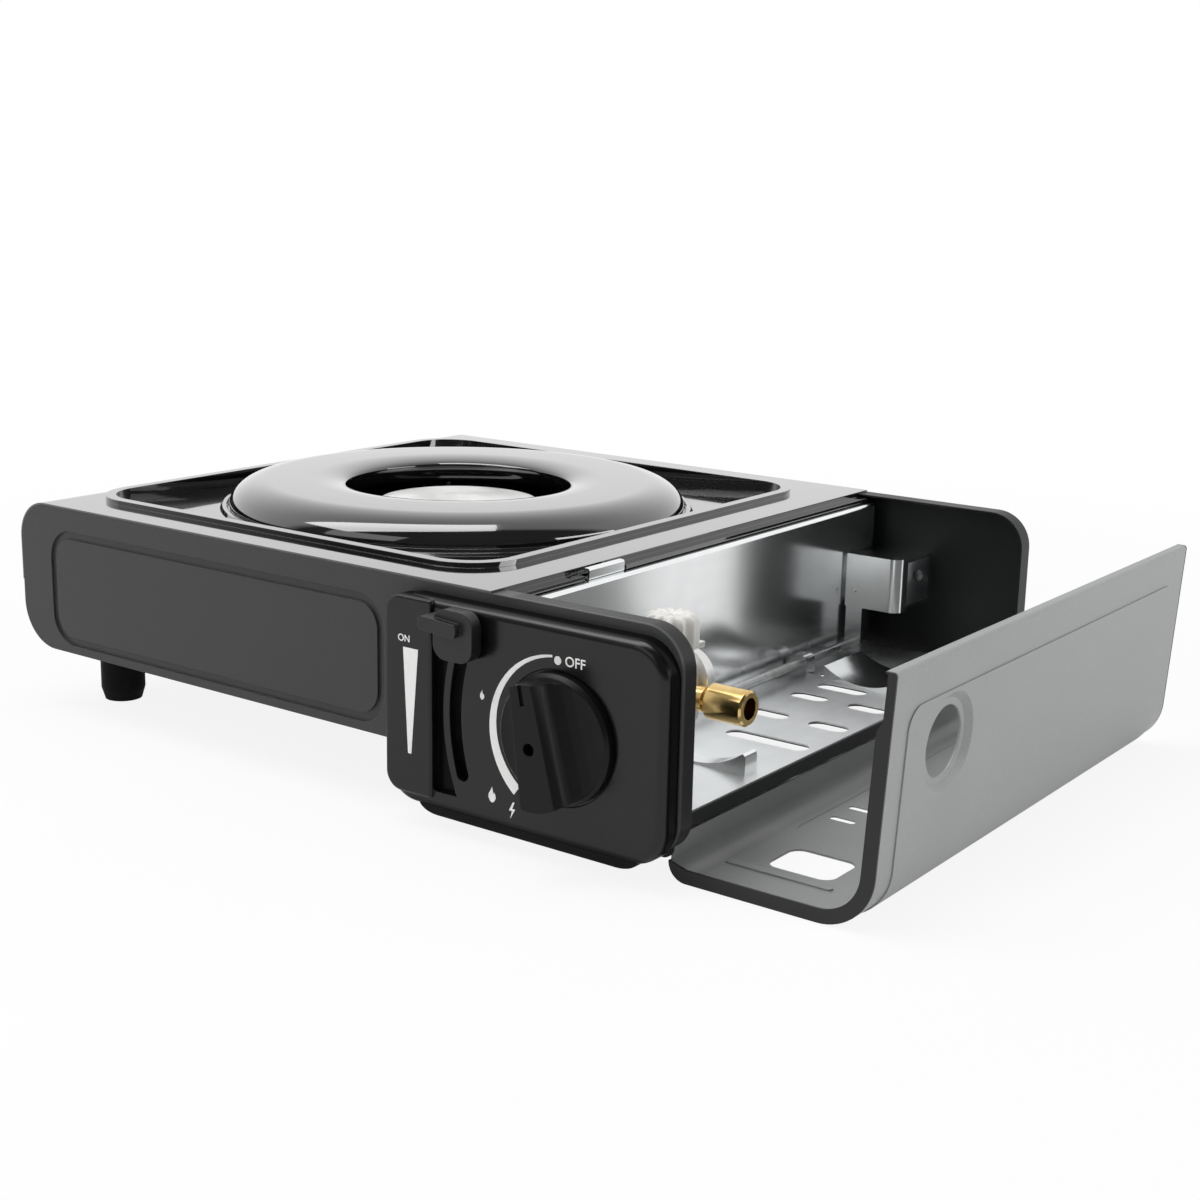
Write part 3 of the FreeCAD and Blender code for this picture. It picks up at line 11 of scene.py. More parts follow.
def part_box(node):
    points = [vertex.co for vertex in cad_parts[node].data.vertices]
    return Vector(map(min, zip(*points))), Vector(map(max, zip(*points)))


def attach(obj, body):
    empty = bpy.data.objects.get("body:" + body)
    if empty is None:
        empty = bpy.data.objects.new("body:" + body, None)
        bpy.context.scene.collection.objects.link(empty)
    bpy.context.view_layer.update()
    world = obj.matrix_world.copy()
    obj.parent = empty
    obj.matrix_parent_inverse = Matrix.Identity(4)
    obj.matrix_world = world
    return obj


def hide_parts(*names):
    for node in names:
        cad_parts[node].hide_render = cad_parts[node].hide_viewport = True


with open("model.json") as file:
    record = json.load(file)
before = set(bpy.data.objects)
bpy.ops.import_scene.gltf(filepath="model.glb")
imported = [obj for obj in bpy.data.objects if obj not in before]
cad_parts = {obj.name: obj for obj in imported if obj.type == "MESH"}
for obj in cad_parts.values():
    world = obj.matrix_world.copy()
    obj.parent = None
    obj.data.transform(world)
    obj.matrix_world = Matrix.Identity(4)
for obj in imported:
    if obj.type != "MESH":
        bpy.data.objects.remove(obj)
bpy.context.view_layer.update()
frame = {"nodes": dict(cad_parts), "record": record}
MM = 0.001

# ---- places read from the frame ----
ORIGIN = Vector((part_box("top_cover")[0].x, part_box("front_panel")[0].y, 0.0))
KNOB_LOW, KNOB_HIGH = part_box("knob")
KNOB_X = (KNOB_LOW.x + KNOB_HIGH.x) / 2
KNOB_Z = (KNOB_LOW.z + KNOB_HIGH.z) / 2
STRIP_FACE_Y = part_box("control_fascia")[0].y
STRIP_RISE = 1.5 * MM
FASCIA_FACE_Y = STRIP_FACE_Y + STRIP_RISE
FASCIA_LOW_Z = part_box("control_fascia")[0].z
LID_LOW, LID_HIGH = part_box("lid")
PRINT_LIFT = 0.06 * MM
PRINT_THICK = 0.05 * MM

# ---- camera, measured against the photograph ----
PHOTO_SIDE = 1200
FOCAL_PX = 1861.84
SENSOR = 36.0
CAMERA_AT = Vector((661.70, -485.03, 239.25)) * MM
YAW = math.radians(36.096)
PITCH = math.radians(13.482)
ROLL = math.radians(1.220)


# ---- node helpers ----
def feed(tree, socket, value):
    """Link the socket, or set it when the value is a plain one."""
    if isinstance(value, bpy.types.NodeSocket):
        tree.links.new(value, socket)
    else:
        socket.default_value = value


def add(tree, kind, inputs=None, **settings):
    """New node with its settings, and its inputs linked or set."""
    node = tree.nodes.new(kind)
    for key, value in settings.items():
        setattr(node, key, value)
    for key, value in (inputs or {}).items():
        feed(tree, node.inputs[key], value)
    return node


def blank(name):
    """Material with only an output, and its tree."""
    made = bpy.data.materials.new(name)
    made.use_nodes = True
    made.node_tree.nodes.clear()
    return made, made.node_tree


def finish_with(tree, shader):
    add(tree, "ShaderNodeOutputMaterial", {"Surface": shader.outputs[0]})


def coordinates(tree, stretch=(1, 1, 1)):
    where = add(tree, "ShaderNodeTexCoord")
    mapping = add(tree, "ShaderNodeMapping", {"Vector": where.outputs["Object"], "Scale": stretch})
    return mapping.outputs["Vector"]


def noise(tree, where, scale, detail=3.0, rough=0.55):
    node = add(tree, "ShaderNodeTexNoise", {"Vector": where, "Scale": scale, "Detail": detail,
                                            "Roughness": rough})
    return node.outputs["Fac"]


def remap(tree, value, low, high, start=0.0, end=1.0):
    """Value from start to end, turned into low to high and held there outside."""
    node = add(tree, "ShaderNodeMapRange", {"Value": value, "From Min": start, "From Max": end, "To Min": low,
                                            "To Max": high})
    return node.outputs["Result"]


def blend_colour(tree, factor, first, second):
    """Colour that goes from first to second; the sockets are picked by number, as their names repeat."""
    node = add(tree, "ShaderNodeMix", data_type="RGBA")
    for socket, value in ((node.inputs[0], factor), (node.inputs[6], first), (node.inputs[7], second)):
        feed(tree, socket, value)
    return node.outputs[2]


def maths(tree, operation, first, second):
    node = add(tree, "ShaderNodeMath", {0: first, 1: second}, operation=operation)
    return node.outputs[0]


def shade(colour, factor=1.0):
    return (colour[0] * factor, colour[1] * factor, colour[2] * factor, 1.0)


def rounded(tree, radius):
    """Normal that turns round sharp edges."""
    return add(tree, "ShaderNodeBevel", {"Radius": radius}, samples=6).outputs[0]


def edge_mask(tree, radius):
    """0 on flat faces and up to 1 along sharp edges, with the rounded normal."""
    normal = rounded(tree, radius)
    surface = add(tree, "ShaderNodeNewGeometry")
    dot = add(tree, "ShaderNodeVectorMath", {0: normal, 1: surface.outputs["True Normal"]},
              operation="DOT_PRODUCT")
    return remap(tree, dot.outputs["Value"], 1.0, 0.0, 0.75, 0.99), normal


def place(tree):
    """X, Y and Z measured on the object."""
    where = add(tree, "ShaderNodeTexCoord")
    return add(tree, "ShaderNodeSeparateXYZ", {"Vector": where.outputs["Object"]}).outputs


def raised(tree, height, strength, distance, normal=None):
    """Normal of a surface that follows height."""
    inputs = {"Strength": strength, "Distance": distance, "Height": height}
    if normal is not None:
        inputs["Normal"] = normal
    return add(tree, "ShaderNodeBump", inputs).outputs[0]


def painted_flange_shade_mask(tree, front, back):
    """1 on what lies outside front and back along Y, measured on the object: where black is painted on as shade.
    """
    at = place(tree)
    near = maths(tree, "LESS_THAN", at["Y"], front)
    far = maths(tree, "GREATER_THAN", at["Y"], back)
    return maths(tree, "MAXIMUM", near, far)


def painted_rim_shade_mask(tree, right_of, behind):
    """1 on what lies right of one X and behind one Y, measured on the object: where black is painted on as shade.
    """
    at = place(tree)
    right = maths(tree, "GREATER_THAN", at["X"], right_of)
    return maths(tree, "MULTIPLY", right, remap(tree, at["Y"], 0.0, 1.0, behind, behind + RIM_SHADE_FADE))


def hollow_shade_mask(tree, start, end, foot):
    """Rises to 1 between start and end along Y, and just above foot along Z: where black is painted on as shade
    in hollows and along the lower edge.
    """
    at = place(tree)
    back = remap(tree, at["Y"], 0.0, 1.0, start, end)
    low = remap(tree, at["Z"], 1.0, 0.0, foot, foot + FOOT_SHADE_FADE)
    return maths(tree, "MAXIMUM", back, low)


# ---- finishes: colours are linear, noise scales are per metre ----
# near black, painted on as shade on the lid's flanges, the front panel's rim and the fascia's hollows
PAINTED_SHADE_BLACK = (0.006, 0.006, 0.0062)
EDGE_R = 0.5 * MM        # rounded edges, paler partly from wear and partly as painted highlight
SPANGLE = 110.0
RIM_SHADE_FADE = 0.6 * MM
FOOT_SHADE_FADE = 1.5 * MM


def paint(name, colour, rough=0.40, peel=0.16, wear_and_highlight_tone=1.5, gloss=0.5, shaded_flange=None, shaded_rim=None):
    """Baked paint on sheet: orange peel, cloudiness, paler edges that are partly wear and partly painted
    highlight; its flange or rim may be painted black as shade.
    """
    made, tree = blank(name)
    where = coordinates(tree)
    cloud = noise(tree, where, 14.0, 4.0)
    grain = noise(tree, where, 1500.0, 2.0)
    edges, round_normal = edge_mask(tree, EDGE_R)
    body = blend_colour(tree, remap(tree, cloud, 0.0, 1.0, 0.3, 0.7), shade(colour, 0.93), shade(colour, 1.07))
    speck = blend_colour(tree, remap(tree, grain, 0.0, 0.35, 0.55, 0.75), body, shade(colour, 1.5))
    # paler edges: partly wear, partly painted highlight
    wear_and_highlight_patches = maths(tree, "MULTIPLY", edges, remap(tree, noise(tree, where, 160.0), 0.2, 1.0, 0.35, 0.65))
    worn = blend_colour(tree, maths(tree, "MULTIPLY", wear_and_highlight_patches, 0.5), speck, shade(colour, wear_and_highlight_tone))
    # the lid's end flanges are painted black here, as shade
    if shaded_flange:
        worn = blend_colour(tree, painted_flange_shade_mask(tree, *shaded_flange), worn, shade(PAINTED_SHADE_BLACK))
    # the front panel's rim beside the bay is painted black here, as shade
    if shaded_rim:
        worn = blend_colour(tree, painted_rim_shade_mask(tree, *shaded_rim), worn, shade(PAINTED_SHADE_BLACK))
    waves = noise(tree, where, 620.0, 2.0, 0.45)
    bump = raised(tree, waves, peel, 0.2 * MM, round_normal)
    fine = raised(tree, grain, peel * 0.5, 0.05 * MM, bump)
    shader = add(tree, "ShaderNodeBsdfPrincipled", {
        "Base Color": worn, "Roughness": remap(tree, cloud, rough * 0.88, rough * 1.12, 0.3, 0.7),
        "Specular IOR Level": gloss, "Normal": fine})
    finish_with(tree, shader)
    return made


def enamel(name, colour, rough):
    """Vitreous enamel: glossy, slightly wavy, with a few dust-fine pits."""
    made, tree = blank(name)
    where = coordinates(tree)
    waves = noise(tree, where, 120.0, 2.0, 0.4)
    pits = noise(tree, where, 2600.0, 1.0)
    cloud = noise(tree, where, 22.0, 5.0)
    round_normal = rounded(tree, 0.6 * MM)
    base = blend_colour(tree, remap(tree, cloud, 0.0, 1.0, 0.3, 0.7), shade(colour, 0.8), shade(colour, 1.25))
    dusty = blend_colour(tree, remap(tree, pits, 0.0, 0.5, 0.68, 0.8), base, shade(colour, 3.0))
    bump = raised(tree, waves, 0.05, 0.4 * MM, round_normal)
    shader = add(tree, "ShaderNodeBsdfPrincipled", {
        "Base Color": dusty, "Roughness": remap(tree, cloud, rough * 0.7, rough * 1.5, 0.35, 0.7),
        "IOR": 1.6, "Normal": bump, "Coat Weight": 1.0, "Coat Roughness": 0.03, "Coat IOR": 1.65})
    finish_with(tree, shader)
    return made


def galvanised(name, colour, rough):
    """Zinc-coated sheet: faint crystal spangle and broad clouding."""
    made, tree = blank(name)
    where = coordinates(tree)
    crystals = add(tree, "ShaderNodeTexVoronoi", {"Vector": where, "Scale": SPANGLE}, feature="SMOOTH_F1")
    tone = add(tree, "ShaderNodeSeparateColor", {"Color": crystals.outputs["Color"]})
    cloud = noise(tree, where, 18.0, 2.0)
    streaks = noise(tree, coordinates(tree, (1.0, 0.08, 1.0)), 160.0, 1.0)
    base = blend_colour(tree, tone.outputs["Red"], shade(colour, 0.96), shade(colour, 1.02))
    lined = blend_colour(tree, remap(tree, streaks, 0.0, 0.5, 0.4, 0.7), base, shade(colour, 0.93))
    bump = raised(tree, cloud, 0.04, 0.4 * MM)
    shader = add(tree, "ShaderNodeBsdfPrincipled", {
        "Base Color": lined, "Metallic": 1.0, "Roughness": remap(tree, cloud, rough * 0.9, rough * 1.1, 0.3, 0.7),
        "Normal": bump})
    finish_with(tree, shader)
    return made


def cast(name, colour, rough):
    """Die-cast alloy: matt skin, fine pores, heat-tinted patches."""
    made, tree = blank(name)
    where = coordinates(tree)
    pores = noise(tree, where, 1300.0, 4.0, 0.65)
    cloud = noise(tree, where, 45.0, 4.0)
    edges, round_normal = edge_mask(tree, EDGE_R)
    base = blend_colour(tree, remap(tree, cloud, 0.0, 1.0, 0.35, 0.65), shade(colour, 0.85), shade(colour, 1.08))
    pitted = blend_colour(tree, remap(tree, pores, 0.0, 0.6, 0.55, 0.75), base, shade(colour, 0.6))
    # paler edges: partly wear, partly painted highlight
    with_worn_highlit_edges = blend_colour(tree, maths(tree, "MULTIPLY", edges, 0.4), pitted, shade(colour, 1.35))
    bump = raised(tree, pores, 0.25, 0.12 * MM, round_normal)
    shader = add(tree, "ShaderNodeBsdfPrincipled", {
        "Base Color": with_worn_highlit_edges, "Metallic": 0.85, "Roughness": remap(tree, cloud, rough * 0.9, rough * 1.15,
                                                                    0.3, 0.7),
        "Normal": bump})
    finish_with(tree, shader)
    return made


def drawn_metal(name, colour, rough, tarnish, stretch=(1.0, 1.0, 1.0)):
    """Drawn or turned metal with fine tool lines and tarnish."""
    made, tree = blank(name)
    where = coordinates(tree)
    lines = noise(tree, coordinates(tree, stretch), 2200.0, 2.0)
    stain = noise(tree, where, 90.0, 5.0, 0.6)
    round_normal = rounded(tree, 0.3 * MM)
    base = blend_colour(tree, remap(tree, stain, 0.0, 0.8, 0.5, 0.72), shade(colour), (*tarnish, 1.0))
    lined = blend_colour(tree, remap(tree, lines, 0.0, 0.3, 0.4, 0.7), base, shade(colour, 0.7))
    bump = raised(tree, lines, 0.1, 0.05 * MM, round_normal)
    shader = add(tree, "ShaderNodeBsdfPrincipled", {
        "Base Color": lined, "Metallic": 1.0, "Roughness": remap(tree, stain, rough * 0.8, rough * 1.5, 0.4, 0.7),
        "Normal": bump})
    finish_with(tree, shader)
    return made


def plastic(name, colour, rough, grain_depth, gloss=0.5, shaded_depths=None):
    """Moulded plastic with a spark-eroded grain and paler edges, partly wear and partly painted highlight; what
    lies deeper than the face, and its lower edge, may be painted black as shade, with little reflection.
    """
    made, tree = blank(name)
    where = coordinates(tree)
    grain = noise(tree, where, 2100.0, 2.0, 0.5)
    cloud = noise(tree, where, 35.0, 4.0)
    edges, round_normal = edge_mask(tree, EDGE_R)
    base = blend_colour(tree, remap(tree, cloud, 0.0, 1.0, 0.3, 0.7), shade(colour, 0.9), shade(colour, 1.1))
    # paler edges: partly wear, partly painted highlight
    rubbed_highlit_and_shaded = blend_colour(tree, maths(tree, "MULTIPLY", edges, 0.35), base, shade(colour, 1.7))
    sheen = gloss
    if shaded_depths:
        # hollows and lower edge painted black as shade, with their reflection turned down
        painted_shade = hollow_shade_mask(tree, *shaded_depths)
        rubbed_highlit_and_shaded = blend_colour(tree, painted_shade, rubbed_highlit_and_shaded, shade(PAINTED_SHADE_BLACK, 0.6))
        sheen = remap(tree, painted_shade, gloss, 0.05)
    bump = raised(tree, grain, grain_depth, 0.08 * MM, round_normal)
    worn = maths(tree, "SUBTRACT", remap(tree, cloud, rough * 0.9, rough * 1.1, 0.3, 0.7),
                 maths(tree, "MULTIPLY", edges, 0.12))
    shader = add(tree, "ShaderNodeBsdfPrincipled", {
        "Base Color": rubbed_highlit_and_shaded, "Roughness": worn, "Specular IOR Level": sheen, "Normal": bump})
    finish_with(tree, shader)
    return made


def rubber(name, colour):
    """Moulded rubber: fine grain, with dust in it."""
    made, tree = blank(name)
    where = coordinates(tree)
    grain = noise(tree, where, 900.0, 4.0)
    dust = noise(tree, where, 120.0, 5.0, 0.65)
    round_normal = rounded(tree, 0.6 * MM)
    base = blend_colour(tree, remap(tree, dust, 0.0, 0.6, 0.5, 0.75), shade(colour), shade(colour, 2.2))
    bump = raised(tree, grain, 0.3, 0.1 * MM, round_normal)
    shader = add(tree, "ShaderNodeBsdfPrincipled", {
        "Base Color": base, "Roughness": remap(tree, dust, 0.62, 0.85, 0.3, 0.7), "Specular IOR Level": 0.2,
        "Normal": bump})
    finish_with(tree, shader)
    return made


def ink(name, colour):
    """Screen-printed ink: slightly uneven cover."""
    made, tree = blank(name)
    where = coordinates(tree)
    cover = noise(tree, where, 1800.0, 3.0)
    wash = noise(tree, where, 90.0, 3.0)
    base = blend_colour(tree, remap(tree, cover, 0.0, 0.5, 0.6, 0.8), shade(colour), shade(colour, 0.72))
    bump = raised(tree, cover, 0.15, 0.02 * MM)
    shader = add(tree, "ShaderNodeBsdfPrincipled", {
        "Base Color": base, "Roughness": remap(tree, wash, 0.4, 0.6, 0.3, 0.7), "Normal": bump})
    finish_with(tree, shader)
    return made


FLANGE_SHADE_WIDTH = 1.0 * MM        # end flanges of the lid, painted black as shade
RIM_FACE = 1.2 * MM      # front panel's face; behind it lies its rim, painted black beside the bay as shade
HOLLOW_SHADE_FROM = 1.7 * MM     # deeper than the fascia's face its hollows are painted black as shade
HOLLOW_SHADE_TO = 2.4 * MM
FASCIA_FOOT_SHADE = 2.0 * MM   # and so is its lower edge, as painted shade

COAT = paint("satin_coat", (0.044, 0.046, 0.044))
FRONT_COAT_WITH_SHADED_RIM = paint("front_coat_with_shaded_rim", (0.042, 0.044, 0.042), gloss=0.32,
                   shaded_rim=(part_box("heat_shield")[1].x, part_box("front_panel")[0].y + RIM_FACE))
BLACK_COAT = paint("black_coat", (0.010, 0.011, 0.011), rough=0.42, wear_and_highlight_tone=2.0, gloss=0.25)
LID_COAT_WITH_SHADED_FLANGES = paint("lid_coat", (0.265, 0.27, 0.27), peel=0.14, wear_and_highlight_tone=1.25,
                 shaded_flange=(LID_LOW.y + FLANGE_SHADE_WIDTH, LID_HIGH.y - FLANGE_SHADE_WIDTH))
ENAMEL = enamel("black_enamel", (0.006, 0.006, 0.0065), 0.08)
ZINC = galvanised("galvanised_sheet", (0.90, 0.915, 0.92), 0.18)
BAY_ZINC = galvanised("bay_floor_sheet", (0.92, 0.935, 0.94), 0.38)
ALLOY = cast("cast_alloy", (0.84, 0.84, 0.83), 0.42)
STEEL = drawn_metal("drawn_steel", (0.50, 0.51, 0.52), 0.32, (0.33, 0.31, 0.29))
BRASS = drawn_metal("turned_brass", (0.86, 0.62, 0.26), 0.16, (0.55, 0.34, 0.12), (0.04, 1.0, 1.0))
BLACK_PLASTIC = plastic("black_plastic", (0.015, 0.015, 0.016), 0.40, 0.35, gloss=0.4)
FASCIA_PLASTIC_WITH_SHADED_HOLLOWS = plastic("fascia_plastic_with_shaded_hollows", (0.005, 0.005, 0.005), 0.24, 0.12, gloss=0.38,
                         shaded_depths=(FASCIA_FACE_Y + HOLLOW_SHADE_FROM, FASCIA_FACE_Y + HOLLOW_SHADE_TO, FASCIA_LOW_Z + FASCIA_FOOT_SHADE))
KNOB_PLASTIC = plastic("knob_plastic", (0.006, 0.006, 0.0062), 0.34, 0.25, gloss=0.18)
LIP_PLASTIC = plastic("lip_plastic", (0.005, 0.005, 0.005), 0.5, 0.25, gloss=0.12)
PALE_PLASTIC = plastic("pale_plastic", (0.72, 0.71, 0.68), 0.35, 0.15)
RUBBER = rubber("foot_rubber", (0.004, 0.004, 0.004))
CERAMIC = plastic("ceramic", (0.74, 0.73, 0.70), 0.25, 0.08)
WHITE_INK = ink("white_ink", (0.9, 0.9, 0.89))

SLOT_FINISH = {"coat": COAT, "lid_coat": LID_COAT_WITH_SHADED_FLANGES, "enamel": ENAMEL, "galvanised": ZINC, "cast_alloy": ALLOY,
               "tube_steel": STEEL, "brass": BRASS, "black_plastic": BLACK_PLASTIC, "pale_plastic": PALE_PLASTIC,
               "rubber": RUBBER, "ceramic": CERAMIC}
NODE_FINISH = {"front_panel": FRONT_COAT_WITH_SHADED_RIM, "back_panel": BLACK_COAT, "bottom_tray": BLACK_COAT,
               "knob": KNOB_PLASTIC, "bay_floor": BAY_ZINC, "control_fascia": FASCIA_PLASTIC_WITH_SHADED_HOLLOWS}
SMOOTH_BELOW = math.radians(32)
WELD = 0.002 * MM


def smooth_group():
    """Modifier tree that welds the mesh and shades it smooth, apart from edges sharper than SMOOTH_BELOW."""
    group = bpy.data.node_groups.new("smooth_rounds", "GeometryNodeTree")
    group.interface.new_socket("Geometry", in_out="INPUT", socket_type="NodeSocketGeometry")
    group.interface.new_socket("Geometry", in_out="OUTPUT", socket_type="NodeSocketGeometry")
    start = add(group, "NodeGroupInput")
    weld = add(group, "GeometryNodeMergeByDistance", {"Geometry": start.outputs[0], "Distance": WELD})
    faces = add(group, "GeometryNodeSetShadeSmooth", {"Geometry": weld.outputs[0], "Shade Smooth": True},
                domain="FACE")
    angle = add(group, "GeometryNodeInputMeshEdgeAngle")
    sharp = add(group, "ShaderNodeMath", {0: angle.outputs["Unsigned Angle"], 1: SMOOTH_BELOW},
                operation="GREATER_THAN")
    edges = add(group, "GeometryNodeSetShadeSmooth", {"Geometry": faces.outputs[0], "Selection": sharp.outputs[0],
                                                      "Shade Smooth": False}, domain="EDGE")
    add(group, "NodeGroupOutput", {0: edges.outputs[0]})
    return group


def dress_frame():
    """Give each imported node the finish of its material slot, and smooth its rounds."""
    slots = {part["node"]: part["material_slot"] for part in frame["record"]["subparts"]}
    group = smooth_group()
    for name, node in frame["nodes"].items():
        finish = NODE_FINISH.get(name, SLOT_FINISH[slots[name]])
        for socket in node.material_slots:
            socket.material = finish
        smooth = node.modifiers.new("smooth_rounds", "NODES")
        smooth.node_group = group
        weighted = node.modifiers.new("flat_faces", "WEIGHTED_NORMAL")
        weighted.keep_sharp = True


# ---- pieces ----
def put(name, data, material):
    """Object of a mesh or curve in the scene, in one material."""
    data.materials.append(material)
    piece = bpy.data.objects.new(name, data)
    bpy.context.scene.collection.objects.link(piece)
    return piece


def put_shape(name, shape, material):
    """Object of an edited mesh, with its faces turned outward."""
    bmesh.ops.recalc_face_normals(shape, faces=shape.faces)
    mesh = bpy.data.meshes.new(name)
    shape.to_mesh(mesh)
    shape.free()
    return put(name, mesh, material)


def lathe(name, profile, centre, steps, material, flutes=0, depth=0.0, flutes_above=0.0):
    """Closed ring turned from a profile of (radius, z) points; radii over flutes_above wave in and out."""
    shape = bmesh.new()
    rings = []
    for i in range(steps):
        angle = math.tau * i / steps
        wave = 1 - depth * (0.5 - 0.5 * math.cos(flutes * angle)) ** 0.7
        turned = [(r * wave if r > flutes_above else r, z) for r, z in profile]
        rings.append([shape.verts.new((centre.x + r * math.cos(angle), centre.y + r * math.sin(angle), z))
                      for r, z in turned])
    count = len(profile)
    for i in range(steps):
        for j in range(count):
            corners = (rings[i][j], rings[(i + 1) % steps][j], rings[(i + 1) % steps][(j + 1) % count],
                       rings[i][(j + 1) % count])
            shape.faces.new(corners).smooth = True
    return put_shape(name, shape, material)


def quarter(u0, v0, u1, v1, steps):
    """Points of a quarter ellipse that leaves (u0, v0) along v and reaches (u1, v1) along u."""
    turns = [math.pi / 2 * i / steps for i in range(steps + 1)]
    return [(u1 + (u0 - u1) * math.cos(a), v0 + (v1 - v0) * math.sin(a)) for a in turns]


# ---- pan support ----
PAN_SHEET = 1.0 * MM
PAN_HOLE_R = 49.5 * MM
PAN_SHOULDER_W = 17.0 * MM
PAN_DISH_W = 15.0 * MM
PAN_HOLE_DROP = 3.3 * MM
PAN_LIP = 7.0 * MM
PAN_LIP_LEAN = 0.6 * MM
PAN_ROLL_R = 1.6 * MM
PAN_STEPS = 160
ROLL_STEPS = 12


def pan_ring():
    """The dished ring with its rolled edge, as one smooth turned sheet."""
    low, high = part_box("pan_support")
    centre = (low + high) / 2
    outside = (high.y - low.y) / 2
    crown = high.z
    foot = low.z + PAN_ROLL_R
    hole = crown - PAN_HOLE_DROP
    top = quarter(outside, foot, outside - PAN_SHOULDER_W, crown, 20)
    top += quarter(PAN_HOLE_R, hole, PAN_HOLE_R + PAN_DISH_W, crown, 14)[::-1]
    top.append((PAN_HOLE_R + PAN_LIP_LEAN, hole - PAN_LIP))
    t = PAN_SHEET
    under = quarter(outside - t, foot, outside - PAN_SHOULDER_W, crown - t, 14)
    under += quarter(PAN_HOLE_R + t, hole - t / 2, PAN_HOLE_R + PAN_DISH_W, crown - t, 10)[::-1]
    under.append((PAN_HOLE_R + t + PAN_LIP_LEAN, hole - PAN_LIP))
    ring = lathe("pan_ring", top + under[::-1], centre, PAN_STEPS, ENAMEL)
    turns = [math.tau * i / ROLL_STEPS for i in range(ROLL_STEPS)]
    bead = [(outside - PAN_ROLL_R + PAN_ROLL_R * math.sin(a), foot - PAN_ROLL_R * math.cos(a)) for a in turns]
    edge = lathe("pan_edge", bead, centre, PAN_STEPS, ENAMEL)
    edge.parent = ring
    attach(ring, "pan_support")
    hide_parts("pan_support")


# ---- regulator cap ----
CAP_R = 9.6 * MM
CAP_STEM_R = 6.2 * MM
CAP_TALL = 12.5 * MM
CAP_FLUTES = 11
FLUTE_STEPS = 14
FLUTE_DEPTH = 0.26       # share of the radius
CAP_BORE_R = 0.4 * MM    # closes the middle
CAP_CHAMFER = 0.8 * MM
CAP_ROUND = 3.0 * MM
CAP_LAND = 1.5 * MM      # from the rounded edge to the dish in the top
CAP_DISH = (0.2 * MM, 0.6 * MM)


def regulator_cap():
    """Pale fluted cap over the diaphragm, on a narrower stem."""
    low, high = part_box("diaphragm_cover")
    centre = (low + high) / 2
    skirt = high.z - CAP_TALL
    profile = [(CAP_BORE_R, low.z), (CAP_STEM_R, low.z), (CAP_STEM_R, skirt), (CAP_R - CAP_CHAMFER, skirt),
               (CAP_R, skirt + CAP_CHAMFER)]
    profile += quarter(CAP_R, high.z - CAP_ROUND, CAP_R - CAP_ROUND, high.z, 6)
    profile += [(CAP_R - CAP_ROUND - CAP_LAND, high.z - CAP_DISH[0]), (CAP_BORE_R, high.z - CAP_DISH[1])]
    cap = lathe("diaphragm_cap", profile, centre, CAP_FLUTES * FLUTE_STEPS, PALE_PLASTIC,
                flutes=CAP_FLUTES, depth=FLUTE_DEPTH, flutes_above=CAP_STEM_R)
    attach(cap, "chassis")
    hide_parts("diaphragm_cover")


# ---- printed marks: x and z from the middle of the knob ----
OFF_DOT = (-0.7 * MM, 27.2 * MM)
OFF_DOT_R = 1.5 * MM
OFF_WORD = (2.3 * MM, 27.4 * MM)
OFF_WORD_H = 4.9 * MM
ARC_R = 28.5 * MM
ARC_TURN = (6.0, 142.0)              # degrees anticlockwise from the top
ARC_WIDTH = (0.8 * MM, 4.4 * MM)
SPARK = (-19.6 * MM, -30.2 * MM)
SPARK_SIZE = 3.1 * MM
SMALL_FLAME = (-33.4 * MM, 9.0 * MM)
SMALL_FLAME_SIZE = 1.8 * MM
BIG_FLAME = (-28.6 * MM, -26.4 * MM)
BIG_FLAME_SIZE = 3.0 * MM
ARC_STEPS = 48
DISC_STEPS = 32
LETTER_WEIGHT = 0.012                # how far letters are thickened, as a share of their height

# ---- marks on the raised strip: x from the stove's left side, z from the table ----
WEDGE_TOP = (228.9 * MM, 236.0 * MM)
WEDGE_TOP_Z = 67.5 * MM
WEDGE_FOOT = (231.1 * MM, 232.7 * MM)
WEDGE_FOOT_Z = 28.3 * MM
ON_WORD = (226.4 * MM, 70.6 * MM)
ON_WORD_H = 3.6 * MM


def flat_piece(name, outline, y, material, thick=PRINT_THICK):
    """Plate facing the front, from an outline of (x, z) points in metres, standing forward of y."""
    shape = bmesh.new()
    face = shape.faces.new([shape.verts.new((x, y, z)) for x, z in outline])
    back = bmesh.ops.extrude_face_region(shape, geom=[face])
    moved = [v for v in back["geom"] if isinstance(v, bmesh.types.BMVert)]
    bmesh.ops.translate(shape, verts=moved, vec=(0, -thick, 0))
    piece = put_shape(name, shape, material)
    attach(piece, "chassis")
    return piece


def round_the_dial(radius, degrees):
    """Point on the dial; degrees run anticlockwise from the top."""
    angle = math.radians(degrees)
    return (KNOB_X - radius * math.sin(angle), KNOB_Z + radius * math.cos(angle))


def arc_mark(name, radius, start, end, thin, thick, y):
    """Arc whose width grows from thin to thick."""
    outer, inner = [], []
    for i in range(ARC_STEPS + 1):
        share = i / ARC_STEPS
        degrees = start + (end - start) * share
        half = (thin + (thick - thin) * share) / 2
        outer.append(round_the_dial(radius + half, degrees))
        inner.append(round_the_dial(radius - half, degrees))
    flat_piece(name, outer + inner[::-1], y, WHITE_INK)


def disc_mark(name, x, z, radius, y):
    turns = [math.tau * i / DISC_STEPS for i in range(DISC_STEPS)]
    flat_piece(name, [(x + radius * math.cos(a), z + radius * math.sin(a)) for a in turns], y, WHITE_INK)


def symbol_mark(name, points, x, z, size, y):
    """Symbol drawn from points in units of its half height."""
    flat_piece(name, [(x + u * size, z + v * size) for u, v in points], y, WHITE_INK)


